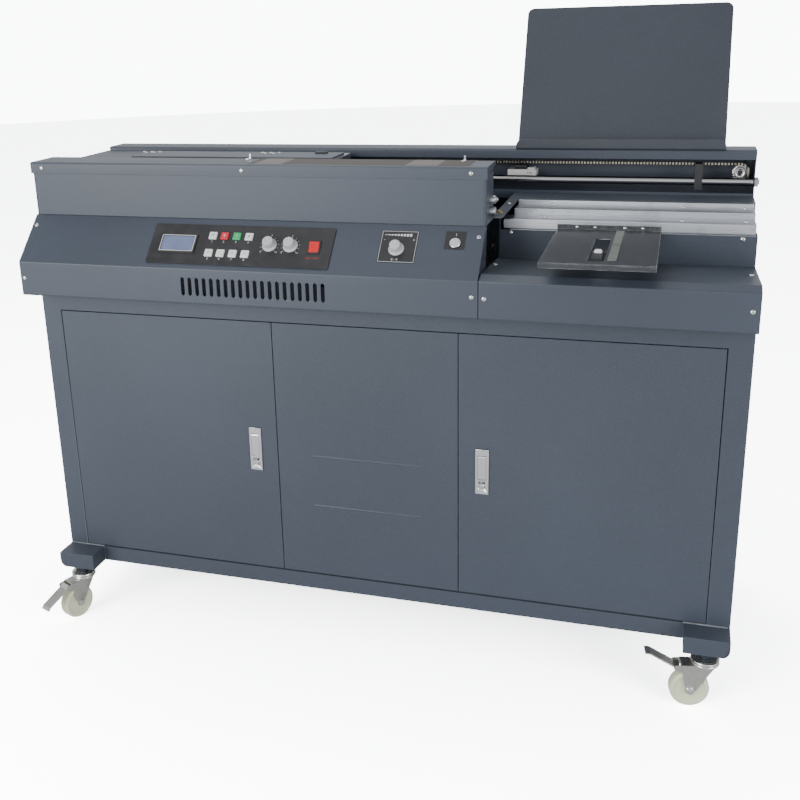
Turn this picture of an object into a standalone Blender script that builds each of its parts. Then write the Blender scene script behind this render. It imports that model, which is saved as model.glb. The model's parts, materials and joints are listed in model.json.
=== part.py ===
"""Glue binding machine on castors: a steel cabinet, a control console, a hood over the glue line,
and a clamp carriage that a roller chain pulls along a guide rod to the nipping bars.

Metres, +Z up, front towards -Y. The origin is on the floor under the middle of the machine."""

import math

import bmesh
import bpy
from mathutils import Matrix, Vector

# Overall sizes
WIDTH = 1.44
CABINET_DEPTH = 0.413
FASCIA_Y = -0.24
FASCIA_OVERHANG = 0.065
FOOT_BOTTOM = 0.1187
CABINET_TOP = 0.762

# Sheet metal and fits
SHEET = 0.002
THIN_SHEET = 0.0015
BEND_RADIUS = 0.004
BEND_STEPS = 2
GAP = 0.0003
PANEL_GAP = 0.0015
OVERRUN = 0.01
EDGE_ROUND = 0.001
WELD = 0.00001
FLAT_ANGLE = math.radians(0.1)

# Feet
FOOT_WIDTH = 0.085
FOOT_HEIGHT = 0.036
FOOT_FRONT = 0.051
FOOT_ROUND = 0.016

# Castors
WHEEL_RADIUS = 0.0375
WHEEL_WIDTH = 0.026
STEM_INSET = 0.0425
STEM_SETBACK = 0.022
STEM_RADIUS = 0.006
TRAIL = 0.027
RACEWAY_RADIUS = 0.026

# Cabinet front
STILE = 0.0436
DOOR_BOTTOM_RAIL = 0.0378
TOP_RAIL = 0.047
DOOR_DEPTH = 0.012
DOOR_RECESS = 0.0165
STOP_DEPTH = 0.012
STOP_WIDTH = 0.012
LEFT_MULLION_X = -0.1926
RIGHT_MULLION_X = 0.1904
PIVOT_INSET = 0.009
PIVOT_SETBACK = 0.004
PIVOT_RADIUS = 0.002
PIVOT_LENGTH = 0.006

# Console, hood and delivery side
FASCIA_HEIGHT = 0.0723
SLOPE_DEPTH = 0.083
SLOPE_RISE = 0.0842
HOOD_TOP = 1.028
HOOD_FLANGE = 0.0233
HOOD_STRIP_DEPTH = 0.0906
HOOD_RIGHT = 0.2395
DECK_WIDTH = 0.135
DECK_DROP = 0.015
SHELF_STEP = 0.021
SHELF_RISE = 0.0094
SHELF_FALL = 0.012
RISER_Y = -0.035

# Back box, guide rod and chain
BOX_DEPTH = 0.0705
BOX_TOP = 1.0213
BOX_BOTTOM = 0.915
UPPER_LIP = 0.0193
LOWER_LIP = 0.02
ROD_RADIUS = 0.008
ROD_SETBACK = 0.053
ROD_Z = 0.956
CHAIN_PITCH = 0.00635
CHAIN_WIDTH = 0.0065
CHAIN_SETBACK = 0.030
CHAIN_PLATE_HALF = 0.00295
CHAIN_WAIST_HALF = 0.002
CHAIN_SEAT_HALF = 0.0012
INNER_STRIDE = 20
TEETH = 16
SPROCKET_INSET = 0.028
DRIVE_INSET = 0.0594
SPROCKET_Z = 0.9725

# Nipping station
BARS_LEFT = 0.251
BARS_INSET = 0.0035
BAR_DEPTH = 0.0497
BAR_TOP = 0.910
BAR_HEIGHT = 0.0196
MIDDLE_BAR_TOP = 0.922
MIDDLE_BAR_DEPTH = 0.055
REAR_STRIP_TOP = 0.930
REAR_STRIP_DEPTH = 0.015
BAR_FRONT_Y = -0.030

# Carriage
CARRIAGE_CLEARANCE = 0.002
CARRIAGE_LENGTH = 0.468
JAW_BOTTOM = 0.937
JAW_TOP = 1.015
JAW_PLATE = 0.008
FRONT_JAW_Y = -0.0615
REAR_JAW_Y = 0.020

# Derived places
HALF_WIDTH = WIDTH / 2
CABINET_FRONT = FASCIA_Y + FASCIA_OVERHANG
BACK = CABINET_FRONT + CABINET_DEPTH
FOOT_TOP = FOOT_BOTTOM + FOOT_HEIGHT
FLOOR_TOP = FOOT_TOP + SHEET
DOOR_BOTTOM = FOOT_BOTTOM + DOOR_BOTTOM_RAIL
DOOR_TOP = CABINET_TOP - TOP_RAIL
DOORS_HALF = HALF_WIDTH - STILE
CREASE_Z = CABINET_TOP + FASCIA_HEIGHT
SLOPE_TOP = CREASE_Z + SLOPE_RISE
SLOPE_BACK = FASCIA_Y + SLOPE_DEPTH
SLOPE_ANGLE = math.atan2(SLOPE_RISE, SLOPE_DEPTH)
SLOPE_LENGTH = math.hypot(SLOPE_DEPTH, SLOPE_RISE)
HOOD_FRONT = SLOPE_BACK + THIN_SHEET
BOX_FRONT = BACK - BOX_DEPTH
DECK_TOP = HOOD_TOP - DECK_DROP
STEM_X = HALF_WIDTH - STEM_INSET
FOOT_FRONT_Y = CABINET_FRONT - FOOT_FRONT
FOOT_BACK_Y = BACK + FOOT_FRONT
SPROCKET_PITCH_RADIUS = CHAIN_PITCH / (2 * math.sin(math.pi / TEETH))
SPROCKET_X = HALF_WIDTH - SPROCKET_INSET
CHAIN_LINKS_PER_RUN = int((WIDTH - SPROCKET_INSET - DRIVE_INSET) / CHAIN_PITCH)
DRIVE_X = SPROCKET_X - CHAIN_LINKS_PER_RUN * CHAIN_PITCH
DECK_RIGHT = -HALF_WIDTH + DECK_WIDTH
CARRIAGE_LEFT = DECK_RIGHT + CARRIAGE_CLEARANCE
CARRIAGE_RIGHT = CARRIAGE_LEFT + CARRIAGE_LENGTH
BARS_RIGHT = HALF_WIDTH - BARS_INSET
ROD_Y = BACK - ROD_SETBACK
CHAIN_Y = BACK - CHAIN_SETBACK


def remove_startup_objects():
    for old in list(bpy.data.objects):
        bpy.data.objects.remove(old, do_unlink=True)


def collection(name, hidden):
    made = bpy.data.collections.new(name)
    made.hide_render = hidden
    bpy.context.scene.collection.children.link(made)
    return made


def material(name, colour, roughness, metallic):
    made = bpy.data.materials.new(name)
    made.use_nodes = True
    shader = made.node_tree.nodes["Principled BSDF"]
    shader.inputs["Base Color"].default_value = (*colour, 1)
    shader.inputs["Roughness"].default_value = roughness
    shader.inputs["Metallic"].default_value = metallic
    made.diffuse_color = (*colour, 1)
    return made


def new_object(name, mesh, look):
    made = bpy.data.objects.new(name, mesh)
    PARTS.objects.link(made)
    if look:
        mesh.materials.append(look)
    return made


def mesh_from(maker, name):
    """A mesh that the function fills through a bmesh."""
    shape = bmesh.new()
    maker(shape)
    mesh = bpy.data.meshes.new(name)
    shape.to_mesh(mesh)
    shape.free()
    return mesh


def box(name, low, high, look=None):
    """A box between two corners."""
    size = [b - a for a, b in zip(low, high)]
    middle = [(a + b) / 2 for a, b in zip(low, high)]
    place = Matrix.Translation(middle) @ Matrix.Diagonal((*size, 1))
    mesh = mesh_from(lambda shape: bmesh.ops.create_cube(shape, size=1, matrix=place), name)
    return new_object(name, mesh, look)


def cylinder(name, start, end, radius, look=None, segments=24, end_radius=None):
    """A cylinder or cone from one point to another."""
    start, end = Vector(start), Vector(end)
    turn = (end - start).to_track_quat("Z", "Y").to_matrix().to_4x4()
    place = Matrix.Translation((start + end) / 2) @ turn
    far = radius if end_radius is None else end_radius

    def fill(shape):
        bmesh.ops.create_cone(
            shape, cap_ends=True, segments=segments, radius1=radius, radius2=far,
            depth=(end - start).length, matrix=place,
        )

    mesh = mesh_from(fill, name)
    mesh.shade_smooth()
    mesh.set_sharp_from_angle(angle=math.radians(40))
    return new_object(name, mesh, look)


def turned(name, profile, look=None, ring=False, steps=24):
    """A profile of (radius, height) points, running down its outer side, turned about local Z."""
    count = len(profile)
    edges = [(i, i + 1) for i in range(count - 1)]
    if ring:
        edges.append((count - 1, 0))
    mesh = bpy.data.meshes.new(name)
    mesh.from_pydata([(radius, 0, height) for radius, height in profile], edges, [])
    made = new_object(name, mesh, look)
    screw = made.modifiers.new("Turn", "SCREW")
    screw.axis = "Z"
    screw.steps = steps
    screw.render_steps = steps
    screw.use_merge_vertices = True
    screw.merge_threshold = WELD
    return made


PLANES = {
    "X": Matrix(((0, 0, 1, 0), (1, 0, 0, 0), (0, 1, 0, 0), (0, 0, 0, 1))),
    "Y": Matrix(((1, 0, 0, 0), (0, 0, -1, 0), (0, 1, 0, 0), (0, 0, 0, 1))),
    "Z": Matrix.Identity(4),
}


def prism(name, outlines, axis, start, end, look=None):
    """Flat outlines, the later ones holes in the first, drawn out along an axis from start to end.
    Along X an outline's points are (y, z), along Y they are (x, z), and along Z (x, y)."""
    curve = bpy.data.curves.new(name, "CURVE")
    curve.dimensions = "2D"
    curve.fill_mode = "BOTH"
    curve.extrude = (end - start) / 2
    for points in outlines:
        spline = curve.splines.new("POLY")
        spline.points.add(len(points) - 1)
        for point, (across, up) in zip(spline.points, points):
            point.co = (across, up, 0, 1)
        spline.use_cyclic_u = True
    holder = bpy.data.objects.new(name, curve)
    bpy.context.scene.collection.objects.link(holder)
    graph = bpy.context.evaluated_depsgraph_get()
    mesh = bpy.data.meshes.new_from_object(holder.evaluated_get(graph))
    bpy.data.objects.remove(holder)
    shape = bmesh.new()
    shape.from_mesh(mesh)
    bmesh.ops.remove_doubles(shape, verts=shape.verts, dist=WELD)
    if len(outlines) == 1:
        bmesh.ops.dissolve_limit(shape, verts=shape.verts, edges=shape.edges, angle_limit=FLAT_ANGLE)
    bmesh.ops.recalc_face_normals(shape, faces=shape.faces)
    shape.to_mesh(mesh)
    shape.free()
    mesh.transform(PLANES[axis])
    middle = {"X": (1, 0, 0), "Y": (0, 1, 0), "Z": (0, 0, 1)}[axis]
    mesh.transform(Matrix.Translation(Vector(middle) * ((start + end) / 2)))
    mesh.materials.clear()
    return new_object(name, mesh, look)


def boolean(target, tool, operation):
    change = target.modifiers.new(operation.title(), "BOOLEAN")
    change.operation = operation
    change.object = tool
    PARTS.objects.unlink(tool)
    CUTTERS.objects.link(tool)
    tool.hide_render = True
    tool.display_type = "WIRE"


def cut(target, *tools):
    for tool in tools:
        boolean(target, tool, "DIFFERENCE")
    return target


def join(target, *tools):
    for tool in tools:
        boolean(target, tool, "UNION")
    return target


def bevel(target, width, segments=2, angle=30):
    change = target.modifiers.new("Bevel", "BEVEL")
    change.width = width
    change.segments = segments
    change.limit_method = "ANGLE"
    change.angle_limit = math.radians(angle)
    return target


def set_origin(made, place):
    """Moves the object's origin without moving its shape."""
    made.data.transform(Matrix.Translation(-Vector(place)))
    made.location = place
    return made


def hang(parent, *children):
    """Parents pieces whose shapes are given in the parent's own space."""
    for child in children:
        child.parent = parent
    return children[0]


def arc(centre, radius, start, end, steps):
    """Points of an arc, angles in degrees, both ends included."""
    turns = [math.radians(start + (end - start) * i / steps) for i in range(steps + 1)]
    return [(centre[0] + radius * math.cos(t), centre[1] + radius * math.sin(t)) for t in turns]


def rounded(points, radius, steps=BEND_STEPS, closed=False):
    """The path with each of its corners rounded."""
    path = []
    count = len(points)
    for i, point in enumerate(points):
        if not closed and i in (0, count - 1):
            path.append(tuple(point))
            continue
        here = Vector(point)
        back = (Vector(points[i - 1]) - here).normalized()
        ahead = (Vector(points[(i + 1) % count]) - here).normalized()
        half = back.angle(ahead) / 2
        reach = radius / math.tan(half)
        middle = here + (back + ahead).normalized() * (radius / math.sin(half))
        first = here + back * reach - middle
        sweep = first.angle_signed(here + ahead * reach - middle)
        for step in range(steps + 1):
            spoke = first.copy()
            spoke.rotate(Matrix.Rotation(-sweep * step / steps, 2))
            path.append(tuple(middle + spoke))
    return path


def offset_path(points, distance):
    """The path moved to its left, all along, by the distance."""
    path = [Vector(point) for point in points]
    moved = []
    for i, here in enumerate(path):
        before = (here - path[i - 1]).normalized() if i else (path[1] - here).normalized()
        after = (path[i + 1] - here).normalized() if i + 1 < len(path) else before
        across = Vector((-before.y - after.y, before.x + after.x)).normalized()
        moved.append(tuple(here + across * (distance / across.dot(Vector((-after.y, after.x))))))
    return moved


def bent_sheet(points, thickness, radius=BEND_RADIUS):
    """The closed outline of a folded sheet: the path is its outer face, with the metal to its left."""
    outer = rounded(points, radius)
    return outer + offset_path(outer, thickness)[::-1]


def end_plate(name, points, near, far, radius=BEND_RADIUS):
    """A plate that closes the end of a folded sheet, welded in at the middle of its thickness."""
    path = [Vector(point) for point in points]
    path[0] += (path[1] - path[0]).normalized() * SHEET
    path[-1] += (path[-2] - path[-1]).normalized() * SHEET
    outline = offset_path(rounded(path, radius), SHEET / 2)
    inset = SHEET / 4
    low, high = sorted((near, far))
    return prism(name, [outline], "X", low + inset, high - inset)


def rectangle(left, low, right, high):
    return [(left, low), (right, low), (right, high), (left, high)]


def capsule(centre, width, height, steps=2):
    """A tall slot with round ends."""
    radius = width / 2
    reach = height / 2 - radius
    top = arc((centre[0], centre[1] + reach), radius, 0, 180, steps)
    return top + arc((centre[0], centre[1] - reach), radius, 180, 360, steps)


# Service opening in the cabinet top, under the glue line
SERVICE_LEFT = -0.13
SERVICE_RIGHT = 0.21
SERVICE_FRONT = -0.06
SERVICE_BACK = 0.12

# Castor heights: stem nut, raceway and fork crown
STEM_NUT_HEIGHT = 0.014
STEM_NUT_RADIUS = 0.0115
RACEWAY_HEIGHT = 0.012
CROWN_THICKNESS = 0.003
CROWN_TOP = FOOT_BOTTOM - STEM_NUT_HEIGHT - GAP - RACEWAY_HEIGHT
STEM_END = CROWN_TOP + GAP


def make_cabinet():
    """Welded cabinet: walls, floor, door frame, mullions and the two foot bars with their stems."""
    cabinet = box(
        "cabinet_frame", (-HALF_WIDTH, CABINET_FRONT, FOOT_BOTTOM), (HALF_WIDTH, BACK, CABINET_TOP), PAINT
    )
    frame_back = CABINET_FRONT + DOOR_RECESS + STOP_DEPTH
    inside = HALF_WIDTH - SHEET
    cut(
        cabinet,
        box("interior", (-inside, frame_back, FLOOR_TOP), (inside, BACK - SHEET, CABINET_TOP - SHEET)),
        box(
            "door_recess", (-DOORS_HALF, CABINET_FRONT - OVERRUN, DOOR_BOTTOM),
            (DOORS_HALF, CABINET_FRONT + DOOR_RECESS, DOOR_TOP),
        ),
    )
    bays = (
        (-DOORS_HALF, LEFT_MULLION_X), (LEFT_MULLION_X, RIGHT_MULLION_X), (RIGHT_MULLION_X, DOORS_HALF),
    )
    for left, right in bays:
        cut(cabinet, box(
            "bay", (left + STOP_WIDTH, CABINET_FRONT, DOOR_BOTTOM + STOP_WIDTH),
            (right - STOP_WIDTH, frame_back + OVERRUN, DOOR_TOP - STOP_WIDTH),
        ))
    under = HALF_WIDTH - FOOT_WIDTH
    rail = CABINET_FRONT + DOOR_RECESS
    cut(
        cabinet,
        box("underside", (-under, rail, FOOT_BOTTOM - OVERRUN), (under, BACK - SHEET, FOOT_TOP)),
        box(
            "service_opening", (SERVICE_LEFT, SERVICE_FRONT, CABINET_TOP - OVERRUN),
            (SERVICE_RIGHT, SERVICE_BACK, CABINET_TOP + OVERRUN),
        ),
    )
    for side in (-1, 1):
        join(cabinet, *foot_bar(side))
        pivot_x = side * (DOORS_HALF - PIVOT_INSET)
        pivot_y = CABINET_FRONT + PIVOT_SETBACK
        reach = PIVOT_LENGTH + GAP
        for level, way in ((DOOR_BOTTOM, -1), (DOOR_TOP, 1)):
            start = (pivot_x, pivot_y, level - way * PANEL_GAP)
            end = (pivot_x, pivot_y, level + way * reach)
            cut(cabinet, cylinder("pivot_hole", start, end, PIVOT_RADIUS + GAP, segments=12))
    return cabinet


def foot_bar(side):
    """A box bar across the machine with a rounded outer lower edge, and its two castor stems."""
    outer = side * HALF_WIDTH
    inner = side * (HALF_WIDTH - FOOT_WIDTH)
    corner = (outer - side * FOOT_ROUND, FOOT_BOTTOM + FOOT_ROUND)
    edge = arc(corner, FOOT_ROUND, -90, 0 if side > 0 else -180, 4)
    outline = [(inner, FOOT_BOTTOM)] + edge + [(outer, FOOT_TOP + SHEET), (inner, FOOT_TOP + SHEET)]
    pieces = [
        prism("foot_middle", [outline], "Y", CABINET_FRONT + OVERRUN, BACK - OVERRUN),
    ]
    ends = [(inner, FOOT_BOTTOM)] + edge + [(outer, FOOT_TOP), (inner, FOOT_TOP)]
    pieces.append(prism("foot_bar", [ends], "Y", FOOT_FRONT_Y, FOOT_BACK_Y))
    for y in (FOOT_FRONT_Y + STEM_SETBACK, FOOT_BACK_Y - STEM_SETBACK):
        x = side * STEM_X
        top = FOOT_BOTTOM + OVERRUN
        pieces.append(cylinder("castor_stem", (x, y, STEM_END), (x, y, top), STEM_RADIUS, segments=16))
        pieces.append(cylinder(
            "stem_nut", (x, y, FOOT_BOTTOM - STEM_NUT_HEIGHT), (x, y, top), STEM_NUT_RADIUS, segments=6
        ))
    return pieces


# Pressed ribs of the centre panel
RIB_LEFT = -0.115
RIB_RIGHT = 0.114
RIB_HEIGHTS = (0.318, 0.430)
RIB_RADIUS = 0.0022
RIB_SINK = 0.0008


def make_panels():
    """The fixed centre panel between the doors: a folded pan with two pressed ribs."""
    left = LEFT_MULLION_X + PANEL_GAP / 2
    right = RIGHT_MULLION_X - PANEL_GAP / 2
    low = DOOR_BOTTOM + PANEL_GAP
    high = DOOR_TOP - PANEL_GAP
    panel = box(
        "centre_panel", (left, CABINET_FRONT, low), (right, CABINET_FRONT + DOOR_RECESS - GAP, high), PAINT
    )
    cut(panel, box(
        "pan", (left + THIN_SHEET, CABINET_FRONT + THIN_SHEET, low + THIN_SHEET),
        (right - THIN_SHEET, CABINET_FRONT + DOOR_RECESS + OVERRUN, high - THIN_SHEET),
    ))
    for height in RIB_HEIGHTS:
        join(panel, cylinder(
            "rib", (RIB_LEFT, CABINET_FRONT + RIB_SINK, height),
            (RIB_RIGHT, CABINET_FRONT + RIB_SINK, height), RIB_RADIUS, segments=12,
        ))
    return panel


# Door locks: plate, body, swing handle and push button
LEFT_LOCK = (-0.2415, 0.435)
RIGHT_LOCK = (0.2385, 0.432)
LOCKS = {-1: LEFT_LOCK, 1: RIGHT_LOCK}
LOCK_WIDTH = 0.027
LOCK_HEIGHT = 0.096
LOCK_PLATE = 0.003
LOCK_BODY_WIDTH = 0.022
LOCK_BODY_HEIGHT = 0.088
LOCK_BODY_DEPTH = 0.0145
HANDLE_WIDTH = 0.0165
HANDLE_LENGTH = 0.050
HANDLE_THICKNESS = 0.007
HANDLE_DROP = 0.014
LOCK_POCKET_DEPTH = 0.0115
LOCK_BUTTON_RADIUS = 0.0058
LOCK_BUTTON_DROP = 0.0295
LOCK_BUTTON_LENGTH = 0.009
LOCK_BUTTON_PROUD = 0.0025
LOCK_TRAVEL = 0.002


def make_door(side, name):
    """A folded door pan on two pivot pins, cut out for its lock."""
    outer = side * (DOORS_HALF - PANEL_GAP)
    mullion = LEFT_MULLION_X if side < 0 else RIGHT_MULLION_X
    inner = mullion + side * PANEL_GAP / 2
    left, right = sorted((outer, inner))
    low = DOOR_BOTTOM + PANEL_GAP
    high = DOOR_TOP - PANEL_GAP
    back = CABINET_FRONT + DOOR_DEPTH
    door = box(name, (left, CABINET_FRONT, low), (right, back, high), PAINT)
    pivot = (side * (DOORS_HALF - PIVOT_INSET), CABINET_FRONT + PIVOT_SETBACK, 0)
    set_origin(door, pivot)
    cut(door, box(
        "pan", (left + THIN_SHEET, CABINET_FRONT + THIN_SHEET, low + THIN_SHEET),
        (right - THIN_SHEET, back + OVERRUN, high - THIN_SHEET),
    ))
    for level, way in ((low, -1), (high, 1)):
        start = (pivot[0], pivot[1], level - way * THIN_SHEET)
        end = (pivot[0], pivot[1], level + way * (PANEL_GAP + PIVOT_LENGTH - GAP))
        join(door, cylinder("pivot_pin", start, end, PIVOT_RADIUS, segments=12))
    x, z = LOCKS[side]
    half = LOCK_BODY_WIDTH / 2 + GAP
    reach = LOCK_BODY_HEIGHT / 2 + GAP
    cut(door, box(
        "lock_cut_out", (x - half, CABINET_FRONT - OVERRUN, z - reach),
        (x + half, CABINET_FRONT + OVERRUN, z + reach),
    ))
    return door


def make_lock(side, prefix, door):
    """A lock plate with its body, the swing handle on its knuckle, and the sprung push button."""
    x, z = LOCKS[side]
    face = CABINET_FRONT - GAP
    front = face - LOCK_PLATE
    plate = box(
        prefix + "_lock_plate", (x - LOCK_WIDTH / 2, front, z - LOCK_HEIGHT / 2),
        (x + LOCK_WIDTH / 2, face, z + LOCK_HEIGHT / 2), CHROME,
    )
    bevel(plate, EDGE_ROUND, 1)
    join(plate, box(
        "lock_body", (x - LOCK_BODY_WIDTH / 2, face - GAP, z - LOCK_BODY_HEIGHT / 2),
        (x + LOCK_BODY_WIDTH / 2, face + LOCK_BODY_DEPTH, z + LOCK_BODY_HEIGHT / 2),
    ))
    top = z + LOCK_HEIGHT / 2 - HANDLE_DROP
    half = HANDLE_WIDTH / 2
    cut(plate, box(
        "handle_pocket", (x - half - GAP, front - OVERRUN, top - HANDLE_LENGTH - 2 * GAP),
        (x + half + GAP, front + LOCK_POCKET_DEPTH, top + 2 * GAP),
    ))
    button_z = z - LOCK_BUTTON_DROP
    cut(plate, cylinder(
        "button_bore", (x, front - OVERRUN, button_z), (x, front + LOCK_BUTTON_LENGTH, button_z),
        LOCK_BUTTON_RADIUS + GAP, segments=16,
    ))
    knuckle = HANDLE_THICKNESS / 2
    pin = (x, front + knuckle, top - knuckle)
    outline = [(front, top - HANDLE_LENGTH), (front + HANDLE_THICKNESS, top - HANDLE_LENGTH + knuckle)]
    outline += arc((pin[1], pin[2]), knuckle, 0, 180, 6)
    handle = prism(prefix + "_lock_handle", [outline], "X", x - half, x + half, CHROME)
    set_origin(handle, pin)
    button = cylinder(
        prefix + "_lock_button", (x, front - LOCK_BUTTON_PROUD, button_z),
        (x, front + LOCK_BUTTON_LENGTH - LOCK_BUTTON_PROUD - LOCK_TRAVEL, button_z),
        LOCK_BUTTON_RADIUS, CHROME, 16,
    )
    set_origin(button, (x, front, button_z))
    for piece in (plate, handle, button):
        piece.parent = door
        piece.matrix_parent_inverse = Matrix.Translation(-Vector(door.location))
    return plate


# Bridge plate between hood and bars, and the shelf of the drive motor
BRIDGE_LEFT = HOOD_RIGHT + PANEL_GAP + SHEET + GAP
BRIDGE_RIGHT = 0.2635
BRIDGE_FRONT = -0.123
MOTOR_FRONT = BOX_FRONT - 0.1275
MOTOR_SHELF = 0.9375
MOTOR_SHELF_RIGHT = -HALF_WIDTH + 0.108


def make_upper_chassis():
    """Frame above the cabinet: back wall, side walls, rear deck, bridge plate and motor shelf.
    Each plate ends inside the thickness of the one that it is welded to."""
    low = CABINET_TOP + GAP
    deck = REAR_STRIP_TOP
    weld = SHEET / 2
    plate_low = low + SHEET / 4
    wall_low = low + weld
    rear = BACK - weld
    channel = BOX_FRONT - GAP
    under_channel = BOX_BOTTOM - SHEET
    front = HOOD_FRONT + CONSOLE_FLANGE + GAP
    bars_back = BAR_FRONT_Y + BAR_DEPTH + MIDDLE_BAR_DEPTH + REAR_STRIP_DEPTH + 2 * GAP
    bars_low = BAR_TOP - BAR_HEIGHT - GAP
    chassis = box(
        "upper_chassis", (-HALF_WIDTH, BACK - SHEET, low), (HALF_WIDTH, BACK, BOX_BOTTOM - GAP), PAINT
    )
    left_wall = [
        (front, wall_low), (rear, wall_low), (rear, under_channel), (channel, under_channel),
        (channel, SLOPE_TOP), (front, SLOPE_TOP),
    ]
    right_wall = [
        (RISER_Y, wall_low), (rear, wall_low), (rear, under_channel), (channel, under_channel),
        (channel, deck - weld), (bars_back, deck - weld), (bars_back, bars_low), (RISER_Y, bars_low),
    ]
    deck_outline = [
        (BRIDGE_LEFT, BRIDGE_FRONT), (BRIDGE_RIGHT, BRIDGE_FRONT), (BRIDGE_RIGHT, bars_back),
        (HALF_WIDTH - SHEET / 4, bars_back), (HALF_WIDTH - SHEET / 4, channel), (BRIDGE_LEFT, channel),
    ]
    shelf_left = -HALF_WIDTH + SHEET + GAP
    join(
        chassis,
        prism("left_wall", [left_wall], "X", -HALF_WIDTH + SHEET / 4, -HALF_WIDTH + SHEET),
        prism("right_wall", [right_wall], "X", HALF_WIDTH - SHEET, HALF_WIDTH - SHEET / 4),
        prism("rear_deck", [deck_outline], "Z", deck - SHEET, deck),
        box(
            "bridge_wall", (BRIDGE_LEFT + SHEET / 4, RISER_Y, wall_low),
            (BRIDGE_LEFT + SHEET, channel - SHEET, deck - weld),
        ),
        box(
            "right_floor", (BRIDGE_LEFT, RISER_Y - SHEET, plate_low),
            (HALF_WIDTH - weld, rear, plate_low + SHEET),
        ),
        box(
            "motor_shelf", (shelf_left, MOTOR_FRONT, MOTOR_SHELF - SHEET),
            (MOTOR_SHELF_RIGHT, channel, MOTOR_SHELF),
        ),
        box(
            "shelf_wall", (shelf_left + SHEET / 4, MOTOR_FRONT + SHEET, wall_low),
            (shelf_left + SHEET, channel - SHEET, MOTOR_SHELF - weld),
        ),
        box(
            "left_floor", (-HALF_WIDTH + weld, MOTOR_FRONT, plate_low),
            (MOTOR_SHELF_RIGHT, rear, plate_low + SHEET),
        ),
    )
    return chassis


# Console details. On the slope a place is (x, distance up the slope from the crease)
CONSOLE_FLANGE = 0.012
VENT_COUNT = 20
VENT_LEFT = -0.3495
VENT_PITCH = 0.0154
VENT_WIDTH = 0.0075
VENT_LOW = 0.779
VENT_HIGH = 0.818
PANEL_LEFT = -0.431
PANEL_RIGHT = -0.048
PANEL_LOW = 0.0105
PANEL_HIGH = 0.103
PANEL_LAP = 0.008
PANEL_THICKNESS = 0.002
KEY_SIZE = 0.0165
KEY_PROUD = 0.003
KEY_DEPTH = 0.006
KEY_TRAVEL = 0.001
KEY_COLUMNS = (-0.2995, -0.2745, -0.2485, -0.2225)
KEY_ROWS = (0.077, 0.037)
LCD_LEFT = -0.4115
LCD_RIGHT = -0.3315
LCD_LOW = 0.0345
LCD_HIGH = 0.079
LCD_BORDER = 0.005
BEZEL_HEIGHT = 0.0025
PRESSURE_KNOB = (-0.176, 0.060)
TIMER_KNOB = (-0.133, 0.060)
KNOBS = {"pressure_knob": PRESSURE_KNOB, "timer_knob": TIMER_KNOB}
SIDE_KNOB = (0.077, 0.063)
KNOB_SHAFT = 0.003
ROCKER_PLACE = (-0.084, 0.058)
ROCKER_WIDTH = 0.025
ROCKER_LENGTH = 0.029
ROCKER_BORDER = 0.002
START_PLACE = (0.187, 0.079)
START_RADIUS = 0.008


def make_console():
    """The left control console: folded fascia and control slope, closed by an end plate at each side."""
    right = HOOD_RIGHT
    back = HOOD_FRONT + CONSOLE_FLANGE
    path = [
        (back, SLOPE_TOP), (SLOPE_BACK, SLOPE_TOP), (FASCIA_Y, CREASE_Z), (FASCIA_Y, CABINET_TOP + GAP),
        (CABINET_FRONT + CONSOLE_FLANGE, CABINET_TOP + GAP),
    ]
    console = prism(
        "console_cover", [bent_sheet(path, SHEET, BEND_RADIUS)], "X", -HALF_WIDTH, right, PAINT
    )
    join(
        console,
        end_plate("left_cheek", path, -HALF_WIDTH, -HALF_WIDTH + SHEET),
        end_plate("right_cheek", path, right - SHEET, right),
    )
    slots = []
    for i in range(VENT_COUNT):
        x = VENT_LEFT + i * VENT_PITCH
        slots.append(capsule((x, (VENT_LOW + VENT_HIGH) / 2), VENT_WIDTH, VENT_HIGH - VENT_LOW))
    cut(console, prism("vents", slots, "Y", FASCIA_Y - OVERRUN, FASCIA_Y + OVERRUN))
    window = box(
        "panel_window", (PANEL_LEFT + PANEL_LAP, PANEL_LOW + PANEL_LAP, -OVERRUN),
        (PANEL_RIGHT - PANEL_LAP, PANEL_HIGH - PANEL_LAP, OVERRUN),
    )
    knob_hole = cylinder(
        "knob_hole", (*SIDE_KNOB, -OVERRUN), (*SIDE_KNOB, OVERRUN), KNOB_SHAFT + GAP, segments=12
    )
    start_hole = cylinder(
        "start_hole", (*START_PLACE, -OVERRUN), (*START_PLACE, OVERRUN), START_RADIUS + GAP, segments=20
    )
    hang(SLOPE, window, knob_hole, start_hole)
    return cut(console, window, knob_hole, start_hole)


def square(centre, size):
    half = size / 2
    return rectangle(centre[0] - half, centre[1] - half, centre[0] + half, centre[1] + half)


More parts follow.
